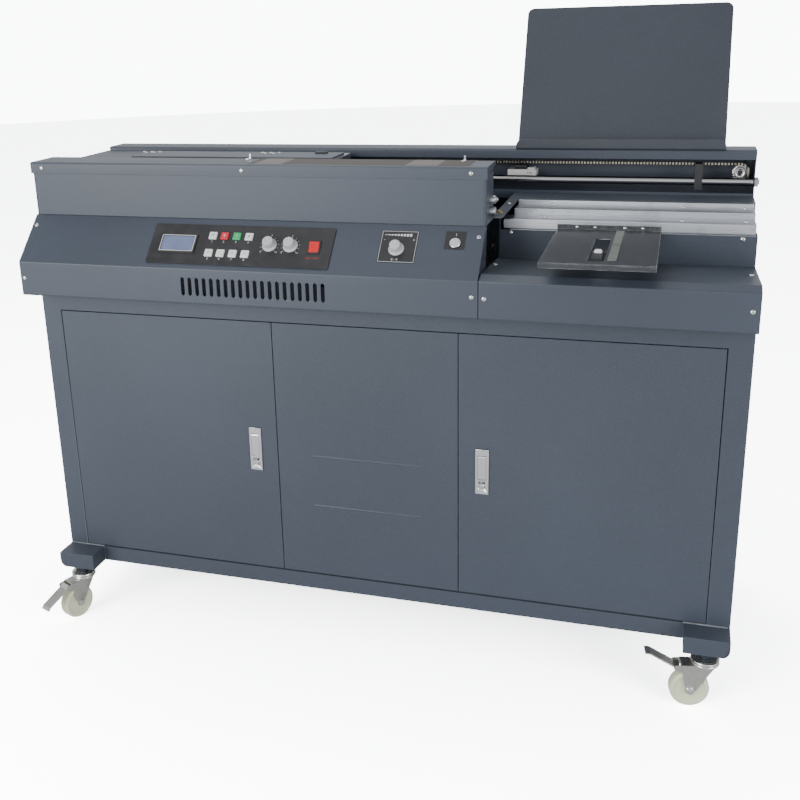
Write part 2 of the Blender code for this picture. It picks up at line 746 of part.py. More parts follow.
def make_control_panel():
    """The black panel plate with its display frame, switch frame and key holes."""
    outline = rectangle(PANEL_LEFT, PANEL_LOW, PANEL_RIGHT, PANEL_HIGH)
    holes = [square((x, s), KEY_SIZE + 2 * GAP) for x in KEY_COLUMNS for s in KEY_ROWS]
    holes += [arc(place, KNOB_SHAFT + GAP, 0, 330, 11) for place in KNOBS.values()]
    half_width = ROCKER_WIDTH / 2 - ROCKER_BORDER
    half_length = ROCKER_LENGTH / 2 - ROCKER_BORDER
    x, s = ROCKER_PLACE
    rocker_hole = rectangle(x - half_width, s - half_length, x + half_width, s + half_length)
    outline = rounded(outline, BEND_RADIUS, 2, closed=True)
    top = GAP + PANEL_THICKNESS
    panel = prism("control_panel", [outline, rocker_hole, *holes], "Z", GAP, top, BLACK)
    switch_frame = rectangle(
        x - ROCKER_WIDTH / 2, s - ROCKER_LENGTH / 2, x + ROCKER_WIDTH / 2, s + ROCKER_LENGTH / 2
    )
    screen = rectangle(LCD_LEFT, LCD_LOW, LCD_RIGHT, LCD_HIGH)
    glass = rectangle(
        LCD_LEFT + LCD_BORDER, LCD_LOW + LCD_BORDER, LCD_RIGHT - LCD_BORDER, LCD_HIGH - LCD_BORDER
    )
    bezel = prism("bezel", [screen, glass], "Z", top - GAP, top + BEZEL_HEIGHT)
    switch = prism("switch_frame", [switch_frame, rocker_hole], "Z", top - GAP, top + BEZEL_HEIGHT)
    hang(SLOPE, panel, bezel, switch)
    return join(panel, bezel, switch)


def make_keys():
    """Eight square keys, each free to be pressed in."""
    colours = {(KEY_COLUMNS[1], KEY_ROWS[0]): RED, (KEY_COLUMNS[2], KEY_ROWS[0]): GREEN}
    number = 0
    for s in KEY_ROWS:
        for x in KEY_COLUMNS:
            number += 1
            top = GAP + PANEL_THICKNESS + KEY_PROUD
            half = KEY_SIZE / 2
            key = box(
                f"key_{number}", (x - half, s - half, top - KEY_PROUD - KEY_DEPTH), (x + half, s + half, top),
                colours.get((x, s), WHITE),
            )
            set_origin(key, (x, s, top))
            bevel(key, EDGE_ROUND, 1)
            hang(SLOPE, key)


# Knob profile
SKIRT_RADIUS = 0.015
SKIRT_HEIGHT = 0.003
CAP_RADIUS = 0.0105
CAP_HEIGHT = 0.017
SHAFT_DEPTH = 0.010
POINTER_WIDTH = 0.0016


def make_knob(name, place, base):
    """A skirted knob with a pointer rib, turned about its shaft."""
    profile = [
        (0, CAP_HEIGHT), (CAP_RADIUS - EDGE_ROUND, CAP_HEIGHT), (CAP_RADIUS, CAP_HEIGHT - EDGE_ROUND),
        (CAP_RADIUS + EDGE_ROUND, SKIRT_HEIGHT), (SKIRT_RADIUS, SKIRT_HEIGHT / 2), (SKIRT_RADIUS, GAP),
        (KNOB_SHAFT, GAP), (KNOB_SHAFT, -SHAFT_DEPTH), (0, -SHAFT_DEPTH),
    ]
    knob = turned(name, profile, GREY, steps=16)
    half = POINTER_WIDTH / 2
    pointer = box("pointer", (-half, 0, CAP_HEIGHT - EDGE_ROUND), (half, CAP_RADIUS, CAP_HEIGHT + EDGE_ROUND))
    hang(knob, pointer)
    join(knob, pointer)
    knob.location = (*place, base)
    hang(SLOPE, knob)


# Rocker switch profile, (up the slope, off the panel) about its pivot
ROCKER_PIVOT_DEPTH = 0.002
ROCKER_HIGH = 0.0075
ROCKER_LOW = 0.003
ROCKER_DEPTH = 0.008
ROCKER_TAPER = 0.0012


def make_rocker():
    """The red rocker of the main switch, tilted on its pivot."""
    half = ROCKER_LENGTH / 2 - ROCKER_BORDER - 3 * GAP
    waist = (ROCKER_HIGH + ROCKER_LOW) / 2 - EDGE_ROUND
    outline = [
        (-half, 0), (half, 0), (half - ROCKER_TAPER, ROCKER_HIGH), (0, waist),
        (ROCKER_TAPER / 2 - half, ROCKER_LOW),
    ]
    side = ROCKER_WIDTH / 2 - ROCKER_BORDER - GAP
    rocker = prism("rocker_switch", [outline], "X", -side, side, RED)
    body = prism(
        "rocker_body", [rectangle(-half / 2, -ROCKER_DEPTH, half / 2, GAP)], "X", -side, side
    )
    hang(rocker, body)
    join(rocker, body)
    rocker.location = (*ROCKER_PLACE, GAP + PANEL_THICKNESS - ROCKER_PIVOT_DEPTH)
    hang(SLOPE, rocker)


# Start button profile
START_RING_RADIUS = 0.0105
START_PROUD = 0.004
START_DEPTH = 0.018
START_TRAVEL = 0.002


def make_start_button():
    """A round push button: a domed cap on a stem through the console."""
    profile = [
        (0, START_PROUD), (START_RADIUS, START_PROUD), (START_RING_RADIUS, START_PROUD - EDGE_ROUND),
        (START_RING_RADIUS, START_TRAVEL + GAP), (START_RADIUS, START_TRAVEL + GAP),
        (START_RADIUS, -START_DEPTH), (0, -START_DEPTH),
    ]
    button = turned("start_button", profile, CHROME, steps=20)
    button.location = (*START_PLACE, 0)
    hang(SLOPE, button)


# Hood details
HOOD_RETURN = 0.075
HOOD_ROUND = 0.006
STRIP_RETURN = 0.008
BUSH_RADIUS = 0.007
BUSH_LENGTH = 0.009
BUSH_Y = -0.115
BUSH_HEIGHTS = (0.962, 0.940)
DECK_FOLD_FRONT = -0.091
DECK_FOLD_BACK = 0.005


def make_hood():
    """Front panel wrapped round the hood's left end, and the top cover with its closed left deck."""
    low = SLOPE_TOP + GAP
    high = DECK_TOP - 2 * SHEET
    front = HOOD_FRONT
    path = [
        (-HALF_WIDTH, BOX_FRONT - GAP), (-HALF_WIDTH, front), (HOOD_RIGHT, front),
        (HOOD_RIGHT, front + HOOD_RETURN),
    ]
    panel = prism("hood_front_panel", [bent_sheet(path, THIN_SHEET, HOOD_ROUND)], "Z", low, high, PAINT)
    for z in BUSH_HEIGHTS:
        join(panel, cylinder(
            "end_bush", (HOOD_RIGHT - SHEET, BUSH_Y, z), (HOOD_RIGHT + BUSH_LENGTH, BUSH_Y, z), BUSH_RADIUS,
            segments=16,
        ))
    face = front - THIN_SHEET - GAP
    back = face + HOOD_STRIP_DEPTH
    strip_path = [
        (face, HOOD_TOP - HOOD_FLANGE), (face, HOOD_TOP), (back, HOOD_TOP), (back, HOOD_TOP - STRIP_RETURN),
    ]
    strip_path.reverse()
    end = HOOD_RIGHT + THIN_SHEET + GAP
    top = prism(
        "hood_top_cover", [bent_sheet(strip_path, THIN_SHEET)], "X", -HALF_WIDTH - THIN_SHEET - GAP, end,
        PAINT,
    )
    deck_path = [
        (BOX_FRONT - GAP, DECK_TOP), (DECK_FOLD_BACK, DECK_TOP), (DECK_FOLD_FRONT, HOOD_TOP),
        (face + BEND_RADIUS, HOOD_TOP),
    ]
    join(
        top,
        end_plate("right_end", strip_path, end - THIN_SHEET, end),
        prism(
            "left_deck", [bent_sheet(deck_path, THIN_SHEET)], "X", -HALF_WIDTH - THIN_SHEET - GAP, DECK_RIGHT
        ),
    )
    return panel


# Riser
RISER_LEFT = BRIDGE_LEFT + SHEET + GAP
RISER_TOP = 0.8895
RISER_FLANGE = 0.02


def make_delivery_side():
    """The delivery cover with its low shelf, and the riser that closes the front of the nipping base."""
    left = HOOD_RIGHT + PANEL_GAP
    low = CABINET_TOP + GAP
    shelf_front = (FASCIA_Y + SHELF_STEP, CREASE_Z + SHELF_RISE)
    shelf_back = (RISER_Y - GAP, CREASE_Z + SHELF_RISE - SHELF_FALL)
    path = [
        shelf_back, shelf_front, (FASCIA_Y, CREASE_Z), (FASCIA_Y, low), (CABINET_FRONT + CONSOLE_FLANGE, low),
    ]
    cover = prism("delivery_cover", [bent_sheet(path, SHEET)], "X", left, HALF_WIDTH, PAINT)
    join(
        cover,
        end_plate("left_cheek", path, left, left + SHEET),
        end_plate("right_cheek", path, HALF_WIDTH - SHEET, HALF_WIDTH),
    )
    base = low + SHEET / 4 + SHEET + GAP
    riser = box(
        "riser_panel", (RISER_LEFT, RISER_Y, base),
        (HALF_WIDTH - SHEET - GAP, RISER_Y + THIN_SHEET, RISER_TOP),
        PAINT,
    )
    join(riser, box(
        "riser_foot", (RISER_LEFT, RISER_Y, base),
        (HALF_WIDTH - SHEET - GAP, RISER_Y + RISER_FLANGE, base + THIN_SHEET),
    ))
    return cover


# Rod ends, sprocket hubs and stop collar
ROD_STUD = 0.005
ROD_NUT_RADIUS = 0.0095
ROD_NUT = 0.008
HUB_LENGTH = 0.012
HUB_RADIUS = 0.008
SPROCKET_BORE = 0.004
SPROCKET_THICKNESS = 0.0028
TOOTH_RADIUS = SPROCKET_PITCH_RADIUS - CHAIN_SEAT_HALF - GAP
ROOT_RADIUS = TOOTH_RADIUS - 0.0018
STOP_INSET = 0.115
STOP_WIDTH_X = 0.015
STOP_LOW = 0.940
STOP_HIGH = 0.993
STOP_DEPTH_HALF = 0.0145


def make_back_box():
    """The channel along the back that holds the rod and the chain, open to the front."""
    lower = BOX_BOTTOM + LOWER_LIP
    upper = BOX_TOP - UPPER_LIP
    path = [
        (BOX_FRONT, lower), (BOX_FRONT, BOX_BOTTOM), (BACK, BOX_BOTTOM), (BACK, BOX_TOP),
        (BOX_FRONT, BOX_TOP), (BOX_FRONT, upper),
    ]
    channel = prism("back_box", [bent_sheet(path, SHEET)], "X", -HALF_WIDTH, HALF_WIDTH, PAINT)
    for side in (-1, 1):
        join(channel, end_plate("end_plate", path, side * (HALF_WIDTH - SHEET), side * HALF_WIDTH))
        cut(channel, cylinder(
            "rod_hole", (side * (HALF_WIDTH - OVERRUN), ROD_Y, ROD_Z),
            (side * (HALF_WIDTH + OVERRUN), ROD_Y, ROD_Z), ROD_STUD + GAP, segments=16,
        ))
    pin_front = (SPROCKET_X, CHAIN_Y - HUB_LENGTH / 2, SPROCKET_Z)
    pin_back = (SPROCKET_X, BACK - SHEET / 2, SPROCKET_Z)
    join(channel, cylinder("idler_pin", pin_front, pin_back, SPROCKET_BORE - GAP, segments=16))
    return channel


def make_guide_rod():
    """The ground rod with a nut at each end, and the stop block clamped on it."""
    inside = HALF_WIDTH - SHEET - GAP
    rod = cylinder("guide_rod", (-inside, ROD_Y, ROD_Z), (inside, ROD_Y, ROD_Z), ROD_RADIUS, STEEL, 24)
    for side in (-1, 1):
        end = side * (HALF_WIDTH + GAP + ROD_NUT)
        join(
            rod,
            cylinder(
                "stud", (side * (inside - GAP), ROD_Y, ROD_Z), (end, ROD_Y, ROD_Z), ROD_STUD, segments=16
            ),
            cylinder(
                "nut", (side * (HALF_WIDTH + GAP), ROD_Y, ROD_Z), (end, ROD_Y, ROD_Z), ROD_NUT_RADIUS,
                segments=6,
            ),
        )
    left = HALF_WIDTH - STOP_INSET
    right = left + STOP_WIDTH_X
    block = box(
        "rod_stop", (left, ROD_Y - STOP_DEPTH_HALF, STOP_LOW),
        (right, ROD_Y + STOP_DEPTH_HALF, STOP_HIGH), BLACK,
    )
    bevel(block, EDGE_ROUND)
    cut(block, cylinder(
        "rod_bore", (left - OVERRUN, ROD_Y, ROD_Z), (right + OVERRUN, ROD_Y, ROD_Z), ROD_RADIUS + GAP
    ))
    return rod


def chain_joints():
    """The chain's pin places round both sprockets, each with its outward direction and whether the pin
    lies on a sprocket. The chain leaves each sprocket after half a turn, a whole number of links."""
    top = SPROCKET_PITCH_RADIUS
    joints = []
    half_turn = TEETH // 2
    for i in range(CHAIN_LINKS_PER_RUN):
        near_end = i < 2 or i > CHAIN_LINKS_PER_RUN - 2
        joints.append((Vector((DRIVE_X + i * CHAIN_PITCH, SPROCKET_Z + top)), Vector((0, 1)), near_end))
    for i in range(half_turn):
        turn = math.pi / 2 - i * 2 * math.pi / TEETH
        out = Vector((math.cos(turn), math.sin(turn)))
        joints.append((Vector((SPROCKET_X, SPROCKET_Z)) + out * top, out, True))
    for i in range(CHAIN_LINKS_PER_RUN):
        near_end = i < 2 or i > CHAIN_LINKS_PER_RUN - 2
        joints.append((Vector((SPROCKET_X - i * CHAIN_PITCH, SPROCKET_Z - top)), Vector((0, -1)), near_end))
    for i in range(half_turn):
        turn = -math.pi / 2 - i * 2 * math.pi / TEETH
        out = Vector((math.cos(turn), math.sin(turn)))
        joints.append((Vector((DRIVE_X, SPROCKET_Z)) + out * top, out, True))
    return joints


def make_chain():
    """The roller chain: plates waisted between the pins, with flat seats over the sprocket teeth."""
    joints = chain_joints()
    outer, inner = [], []
    for i, (pin, out, seated) in enumerate(joints):
        following, next_out, next_seated = joints[(i + 1) % len(joints)]
        middle = (pin + following) / 2
        middle_out = (out + next_out).normalized()
        outer += [pin + out * CHAIN_PLATE_HALF, middle + middle_out * CHAIN_WAIST_HALF]
        if seated or next_seated:
            inner.append(pin - out * CHAIN_SEAT_HALF)
        elif i % INNER_STRIDE == 0:
            inner.append(pin - out * CHAIN_PLATE_HALF)
    half = CHAIN_WIDTH / 2
    return prism("drive_chain", [outer, inner], "Y", CHAIN_Y - half, CHAIN_Y + half, STEEL)


# Tooth outline: shares of a tooth either side of its middle, and their radii
TOOTH_SHARES = (-0.36, -0.14, 0.14, 0.36)
TOOTH_RADII = (ROOT_RADIUS, TOOTH_RADIUS, TOOTH_RADIUS, ROOT_RADIUS)


def make_sprocket(name, x):
    """A toothed disc on a hub, its teeth between the chain's pins."""
    points = []
    for i in range(TEETH):
        middle = 2 * math.pi * (i + 0.5) / TEETH
        for share, radius in zip(TOOTH_SHARES, TOOTH_RADII):
            turn = middle + share * 2 * math.pi / TEETH
            points.append((radius * math.cos(turn), radius * math.sin(turn)))
    half = SPROCKET_THICKNESS / 2
    disc = prism(name, [points], "Y", -half, half, STEEL)
    reach = HUB_LENGTH / 2
    hub = cylinder("hub", (0, -reach, 0), (0, reach, 0), HUB_RADIUS, segments=16)
    bore = cylinder("bore", (0, -reach - OVERRUN, 0), (0, reach + OVERRUN, 0), SPROCKET_BORE, segments=12)
    hang(disc, hub, bore)
    join(disc, hub)
    cut(disc, bore)
    disc.location = (x, CHAIN_Y, SPROCKET_Z)


# Gear motor
MOTOR_RADIUS = 0.030
MOTOR_BACK = BOX_FRONT - 0.0015
MOTOR_FOOT_WIDTH = 0.044


def make_drive_motor():
    """The gear motor under the closed left deck, on its foot, its shaft over the rod to the sprocket."""
    motor = cylinder(
        "drive_motor", (DRIVE_X, MOTOR_FRONT + EDGE_ROUND, SPROCKET_Z), (DRIVE_X, MOTOR_BACK, SPROCKET_Z),
        MOTOR_RADIUS, BLACK, 24,
    )
    shaft_end = CHAIN_Y + HUB_LENGTH / 2
    foot_half = MOTOR_FOOT_WIDTH / 2
    join(
        motor,
        cylinder(
            "shaft", (DRIVE_X, MOTOR_BACK - EDGE_ROUND, SPROCKET_Z), (DRIVE_X, shaft_end, SPROCKET_Z),
            SPROCKET_BORE - GAP, segments=16,
        ),
        box(
            "motor_foot", (DRIVE_X - foot_half, MOTOR_FRONT + OVERRUN, MOTOR_SHELF + GAP),
            (DRIVE_X + foot_half, MOTOR_BACK - OVERRUN, SPROCKET_Z - MOTOR_RADIUS / 2),
        ),
    )
    return motor


# Rear bar, its base and its pedestals
MIDDLE_BAR_LEFT = 0.265
BASE_HEIGHT = 0.02
PEDESTAL_LEFT = 0.285
PEDESTAL_WIDTH = 0.03
PEDESTAL_INSET = 0.022


def make_nipping_station():
    """Two clamping bars: the rear one a stepped casting on its base, the front one sliding on it."""
    bar_bottom = BAR_TOP - BAR_HEIGHT
    middle_y = BAR_FRONT_Y + BAR_DEPTH + GAP
    strip_y = middle_y + MIDDLE_BAR_DEPTH
    base_front = RISER_Y + THIN_SHEET + GAP
    base_top = bar_bottom - GAP
    base_low = base_top - BASE_HEIGHT
    strip_back = strip_y + REAR_STRIP_DEPTH
    rear = prism("rear_platen", [[
        (base_front, base_low), (strip_back, base_low), (strip_back, REAR_STRIP_TOP),
        (strip_y, REAR_STRIP_TOP), (strip_y, MIDDLE_BAR_TOP), (middle_y, MIDDLE_BAR_TOP),
        (middle_y, base_top), (base_front, base_top),
    ]], "X", MIDDLE_BAR_LEFT, BARS_RIGHT, ALUMINIUM)
    floor = CABINET_TOP + GAP + SHEET / 4 + SHEET + GAP
    for left in (PEDESTAL_LEFT, BARS_RIGHT - PEDESTAL_INSET - PEDESTAL_WIDTH):
        join(rear, box(
            "pedestal", (left, base_front + PEDESTAL_INSET, floor),
            (left + PEDESTAL_WIDTH, strip_y, base_top - BASE_HEIGHT / 2),
        ))
    front = box(
        "front_platen", (BARS_LEFT, BAR_FRONT_Y, bar_bottom), (BARS_RIGHT, BAR_FRONT_Y + BAR_DEPTH, BAR_TOP),
        ALUMINIUM,
    )
    bevel(front, EDGE_ROUND, 1)
    return front


# Cover table, on the front bar
TABLE_LEFT = 0.356
TABLE_RIGHT = 0.549
TABLE_FRONT = -0.320
TABLE_TOP = 0.8925
TABLE_FLANGE = 0.010
CUT_LEFT = 0.435
CUT_RIGHT = 0.463
CUT_FRONT = -0.297
CUT_BACK = -0.112
STRIP_LEFT = 0.468
STRIP_RIGHT = 0.483
STRIP_FRONT = -0.292
STRIP_HEIGHT = 0.001
ROLLER_RADIUS = 0.009
ROLLER_WIDTH = 0.014
ROLLER_Y = -0.235
BRACKET_WALL = 0.0015
BRACKET_LENGTH = 0.060
BRACKET_WING = 0.004
ROLLER_PIN = 0.0025


def make_cover_table():
    """The small cover table screwed to the front bar, its side gauge strip and its press roller."""
    face = BAR_FRONT_Y - GAP
    path = [
        (TABLE_FRONT, TABLE_TOP - TABLE_FLANGE), (TABLE_FRONT, TABLE_TOP), (face - THIN_SHEET, TABLE_TOP),
        (face - THIN_SHEET, TABLE_TOP + TABLE_FLANGE),
    ]
    path.reverse()
    table = prism("cover_table", [bent_sheet(path, THIN_SHEET, 0.0025)], "X", TABLE_LEFT, TABLE_RIGHT, BLACK)
    for edge in (TABLE_LEFT, TABLE_RIGHT - THIN_SHEET):
        join(table, box(
            "side_flange", (edge, TABLE_FRONT + GAP, TABLE_TOP - TABLE_FLANGE),
            (edge + THIN_SHEET, RISER_Y - GAP, TABLE_TOP - THIN_SHEET / 2),
        ))
    cut(table, box(
        "roller_cut_out", (CUT_LEFT, CUT_FRONT, TABLE_TOP - OVERRUN),
        (CUT_RIGHT, CUT_BACK, TABLE_TOP + OVERRUN),
    ))
    box(
        "table_strip", (STRIP_LEFT, STRIP_FRONT, TABLE_TOP + GAP),
        (STRIP_RIGHT, face - 2 * THIN_SHEET - EDGE_ROUND, TABLE_TOP + GAP + STRIP_HEIGHT), GREY,
    )
    middle = (CUT_LEFT + CUT_RIGHT) / 2
    inner = ROLLER_WIDTH / 2 + GAP
    half_length = BRACKET_LENGTH / 2
    roller_z = TABLE_TOP - THIN_SHEET
    ear_front = ROLLER_Y - half_length
    ear_back = ROLLER_Y + half_length
    ear_low = TABLE_TOP - TABLE_FLANGE
    ear_top = roller_z + ROLLER_RADIUS / 2
    ear = [
        (ear_front, ear_low), (ear_back, ear_low), (ear_back, roller_z), (ROLLER_Y + ROLLER_RADIUS, ear_top),
        (ROLLER_Y - ROLLER_RADIUS, ear_top), (ear_front, roller_z),
    ]
    outside = inner + BRACKET_WALL
    bracket = prism("roller_bracket", [ear], "X", middle - outside, middle + outside, BLACK)
    slot_low = roller_z - ROLLER_RADIUS - EDGE_ROUND
    cut(bracket, box(
        "roller_slot", (middle - inner, ROLLER_Y - ROLLER_RADIUS - EDGE_ROUND, slot_low - OVERRUN),
        (middle + inner, ROLLER_Y + ROLLER_RADIUS + EDGE_ROUND, TABLE_TOP + OVERRUN),
    ))
    wing = (CUT_RIGHT - CUT_LEFT) / 2 + BRACKET_WING
    join(
        bracket,
        box(
            "wings",
            (middle - wing, ROLLER_Y + ROLLER_RADIUS + 2 * EDGE_ROUND, TABLE_TOP - 2 * THIN_SHEET - GAP),
            (middle + wing, ROLLER_Y + half_length, TABLE_TOP - THIN_SHEET - GAP),
        ),
        cylinder(
            "roller_pin",
            (middle - inner - GAP, ROLLER_Y, roller_z), (middle + inner + GAP, ROLLER_Y, roller_z),
            ROLLER_PIN, segments=12,
        ),
    )
    roller = cylinder(
        "press_roller", (-ROLLER_WIDTH / 2, 0, 0), (ROLLER_WIDTH / 2, 0, 0), ROLLER_RADIUS, WHITE, 20
    )
    bore = cylinder(
        "bore", (-ROLLER_WIDTH, 0, 0), (ROLLER_WIDTH, 0, 0), ROLLER_PIN + GAP, segments=12
    )
    hang(roller, bore)
    cut(roller, bore)
    roller.location = (middle, ROLLER_Y, roller_z)


# Cover rack on the back box
RACK_LEFT = 0.245
RACK_RIGHT = 0.661
RACK_SETBACK = 0.046
RACK_LEDGE = 0.0315
RACK_LIP = 0.021
RACK_LEAN = 0.118
RACK_HEIGHT = 0.2807
RACK_TOP = BOX_TOP + RACK_HEIGHT
RACK_FOOT_Y = BACK - RACK_SETBACK
RACK_LIP_Y = RACK_FOOT_Y - RACK_LEDGE
RACK_TOP_Y = RACK_FOOT_Y + RACK_LEAN
RACK_SHEET = 0.002
RACK_ROUND = 0.014


def make_cover_rack():
    """The upright cover rack: one folded sheet with a front lip, leaning back, with rounded corners."""
    low = BOX_TOP + GAP
    path = [(RACK_LIP_Y, low + RACK_LIP), (RACK_LIP_Y, low), (RACK_FOOT_Y, low), (RACK_TOP_Y, RACK_TOP)]
    rack = prism("cover_rack", [bent_sheet(path, RACK_SHEET)], "X", RACK_LEFT, RACK_RIGHT, PAINT)
    shape = bmesh.new()
    shape.from_mesh(rack.data)
    corners = []
    for edge in shape.edges:
        a, b = (vert.co for vert in edge.verts)
        at_top = min(a.z, b.z) > RACK_TOP - 2 * RACK_SHEET
        on_lip = min(a.z, b.z) > low + RACK_LIP - RACK_SHEET and max(a.y, b.y) < RACK_LIP_Y + 2 * RACK_SHEET
        through = abs(a.x - b.x) < GAP and edge.calc_length() < 2 * RACK_SHEET
        if through and (at_top or on_lip) and len(edge.link_faces) == 2 and edge.calc_face_angle() > 1:
            corners.append(edge)
    bmesh.ops.bevel(
        shape, geom=corners, offset=RACK_ROUND, segments=4, affect="EDGES", clamp_overlap=True,
    )
    shape.to_mesh(rack.data)
    shape.free()
    return rack


# Carriage details
BEAM_Y = ROD_Y - 0.057
BEAM_DEPTH = 0.022
ARM = 0.012
BLOCK_LEFTS = (CARRIAGE_LEFT + 0.053, CARRIAGE_LEFT + 0.293)
BLOCK_WIDTH = 0.05
BLOCK_LOW = 0.940
BLOCK_HIGH = 0.988
BLOCK_BACK = ROD_Y + 0.014
CLIP_WIDTH = 0.02
CLIP_THICKNESS = 0.005
CLIP_NECK_BACK = ROD_Y + 0.012
TOP_PLATE_LEFT = CARRIAGE_LEFT + CARRIAGE_CLEARANCE
TOP_PLATE_RIGHT = CARRIAGE_RIGHT - CARRIAGE_CLEARANCE
TOP_PLATE = 0.004
JAW_TOP_BACK = BEAM_Y - 0.018


def make_carriage():
    """The clamp carriage: bearing blocks on the rod, a rear beam, end arms and the fixed front jaw."""
    beam_back = BEAM_Y + BEAM_DEPTH
    arm_top = JAW_TOP - SHEET
    carriage = prism("carriage", [
        rectangle(CARRIAGE_LEFT, FRONT_JAW_Y, CARRIAGE_RIGHT, beam_back),
        rectangle(CARRIAGE_LEFT + ARM, FRONT_JAW_Y + JAW_PLATE, CARRIAGE_RIGHT - ARM, BEAM_Y),
    ], "Z", JAW_BOTTOM, arm_top, ALUMINIUM)
    for left in BLOCK_LEFTS:
        join(carriage, box(
            "bearing_block",
            (left, beam_back - EDGE_ROUND, BLOCK_LOW), (left + BLOCK_WIDTH, BLOCK_BACK, BLOCK_HIGH),
        ))
    clip_left = BLOCK_LEFTS[-1] + OVERRUN
    clip_low = SPROCKET_Z + SPROCKET_PITCH_RADIUS + CHAIN_PLATE_HALF + GAP
    clip = [
        (beam_back + SHEET, BLOCK_HIGH - EDGE_ROUND), (CLIP_NECK_BACK, BLOCK_HIGH - EDGE_ROUND),
        (CLIP_NECK_BACK, clip_low), (CHAIN_Y + CHAIN_WIDTH / 2, clip_low),
        (CHAIN_Y + CHAIN_WIDTH / 2, clip_low + CLIP_THICKNESS),
        (beam_back + SHEET, clip_low + CLIP_THICKNESS),
    ]
    join(carriage, prism("chain_clip", [clip], "X", clip_left, clip_left + CLIP_WIDTH))
    cut(carriage, cylinder(
        "rod_bore", (CARRIAGE_LEFT - OVERRUN, ROD_Y, ROD_Z), (CARRIAGE_RIGHT + OVERRUN, ROD_Y, ROD_Z),
        ROD_RADIUS + GAP, segments=24,
    ))
    jaw_left = CARRIAGE_LEFT + ARM + GAP
    jaw_right = CARRIAGE_RIGHT - ARM - GAP
    jaw = box(
        "clamp_jaw", (jaw_left, REAR_JAW_Y, JAW_BOTTOM), (jaw_right, REAR_JAW_Y + JAW_PLATE, JAW_TOP),
        ALUMINIUM,
    )
    join(jaw, box(
        "jaw_top", (TOP_PLATE_LEFT, REAR_JAW_Y, arm_top + GAP),
        (TOP_PLATE_RIGHT, JAW_TOP_BACK, JAW_TOP + TOP_PLATE),
    ))
    return carriage


# Glue line under the hood
TANK_LEFT = 0.02
TANK_RIGHT = 0.21
TANK_FRONT = -0.035
TANK_BACK = 0.075
TANK_LOW = 0.820
TANK_TOP = 0.915
TANK_WALL = 0.006
TANK_LEG = 0.045
GLUE_ROLLER_RADIUS = 0.032
GLUE_ROLLER_X = 0.115
SPINE_LEVEL = 0.935
GLUE_PIN = 0.006
CUTTER_X = -0.055
CUTTER_RADIUS = 0.050
CUTTER_THICKNESS = 0.008
CUTTER_TEETH = 12
CUTTER_TOOTH_SIZE = 0.007
CUTTER_SHAFT = 0.007
MILL_RADIUS = 0.042
MILL_LOW = 0.775
MILL_FLANGE = 0.11


def make_glue_line():
    """The open glue tank with its roller, and the milling cutter on its upright motor."""
    tank = box(
        "glue_tank", (TANK_LEFT, TANK_FRONT, TANK_LOW), (TANK_RIGHT, TANK_BACK, TANK_TOP), ALUMINIUM
    )
    cut(tank, box(
        "well", (TANK_LEFT + TANK_WALL, TANK_FRONT + TANK_WALL, TANK_LOW + TANK_WALL),
        (TANK_RIGHT - TANK_WALL, TANK_BACK - TANK_WALL, TANK_TOP + OVERRUN),
    ))
    roller_z = SPINE_LEVEL - GLUE_ROLLER_RADIUS
    middle_y = (TANK_FRONT + TANK_BACK) / 2
    for left in (TANK_LEFT, TANK_RIGHT - TANK_WALL):
        join(tank, box(
            "tank_leg", (left, TANK_FRONT - TANK_LEG, CABINET_TOP + GAP),
            (left + TANK_WALL, TANK_BACK + TANK_LEG, TANK_LOW + TANK_WALL),
        ))
    join(tank, cylinder(
        "roller_shaft", (GLUE_ROLLER_X, TANK_FRONT + TANK_WALL / 2, roller_z),
        (GLUE_ROLLER_X, TANK_BACK - TANK_WALL / 2, roller_z), GLUE_PIN, segments=16,
    ))
    half = (TANK_BACK - TANK_FRONT) / 2 - TANK_WALL - GAP
    roller = cylinder("glue_roller", (0, -half, 0), (0, half, 0), GLUE_ROLLER_RADIUS, STEEL, 28)
    bore = cylinder("bore", (0, -half - OVERRUN, 0), (0, half + OVERRUN, 0), GLUE_PIN + GAP, segments=16)
    hang(roller, bore)
    cut(roller, bore)
    roller.location = (GLUE_ROLLER_X, middle_y, roller_z)
    make_milling_unit(middle_y)


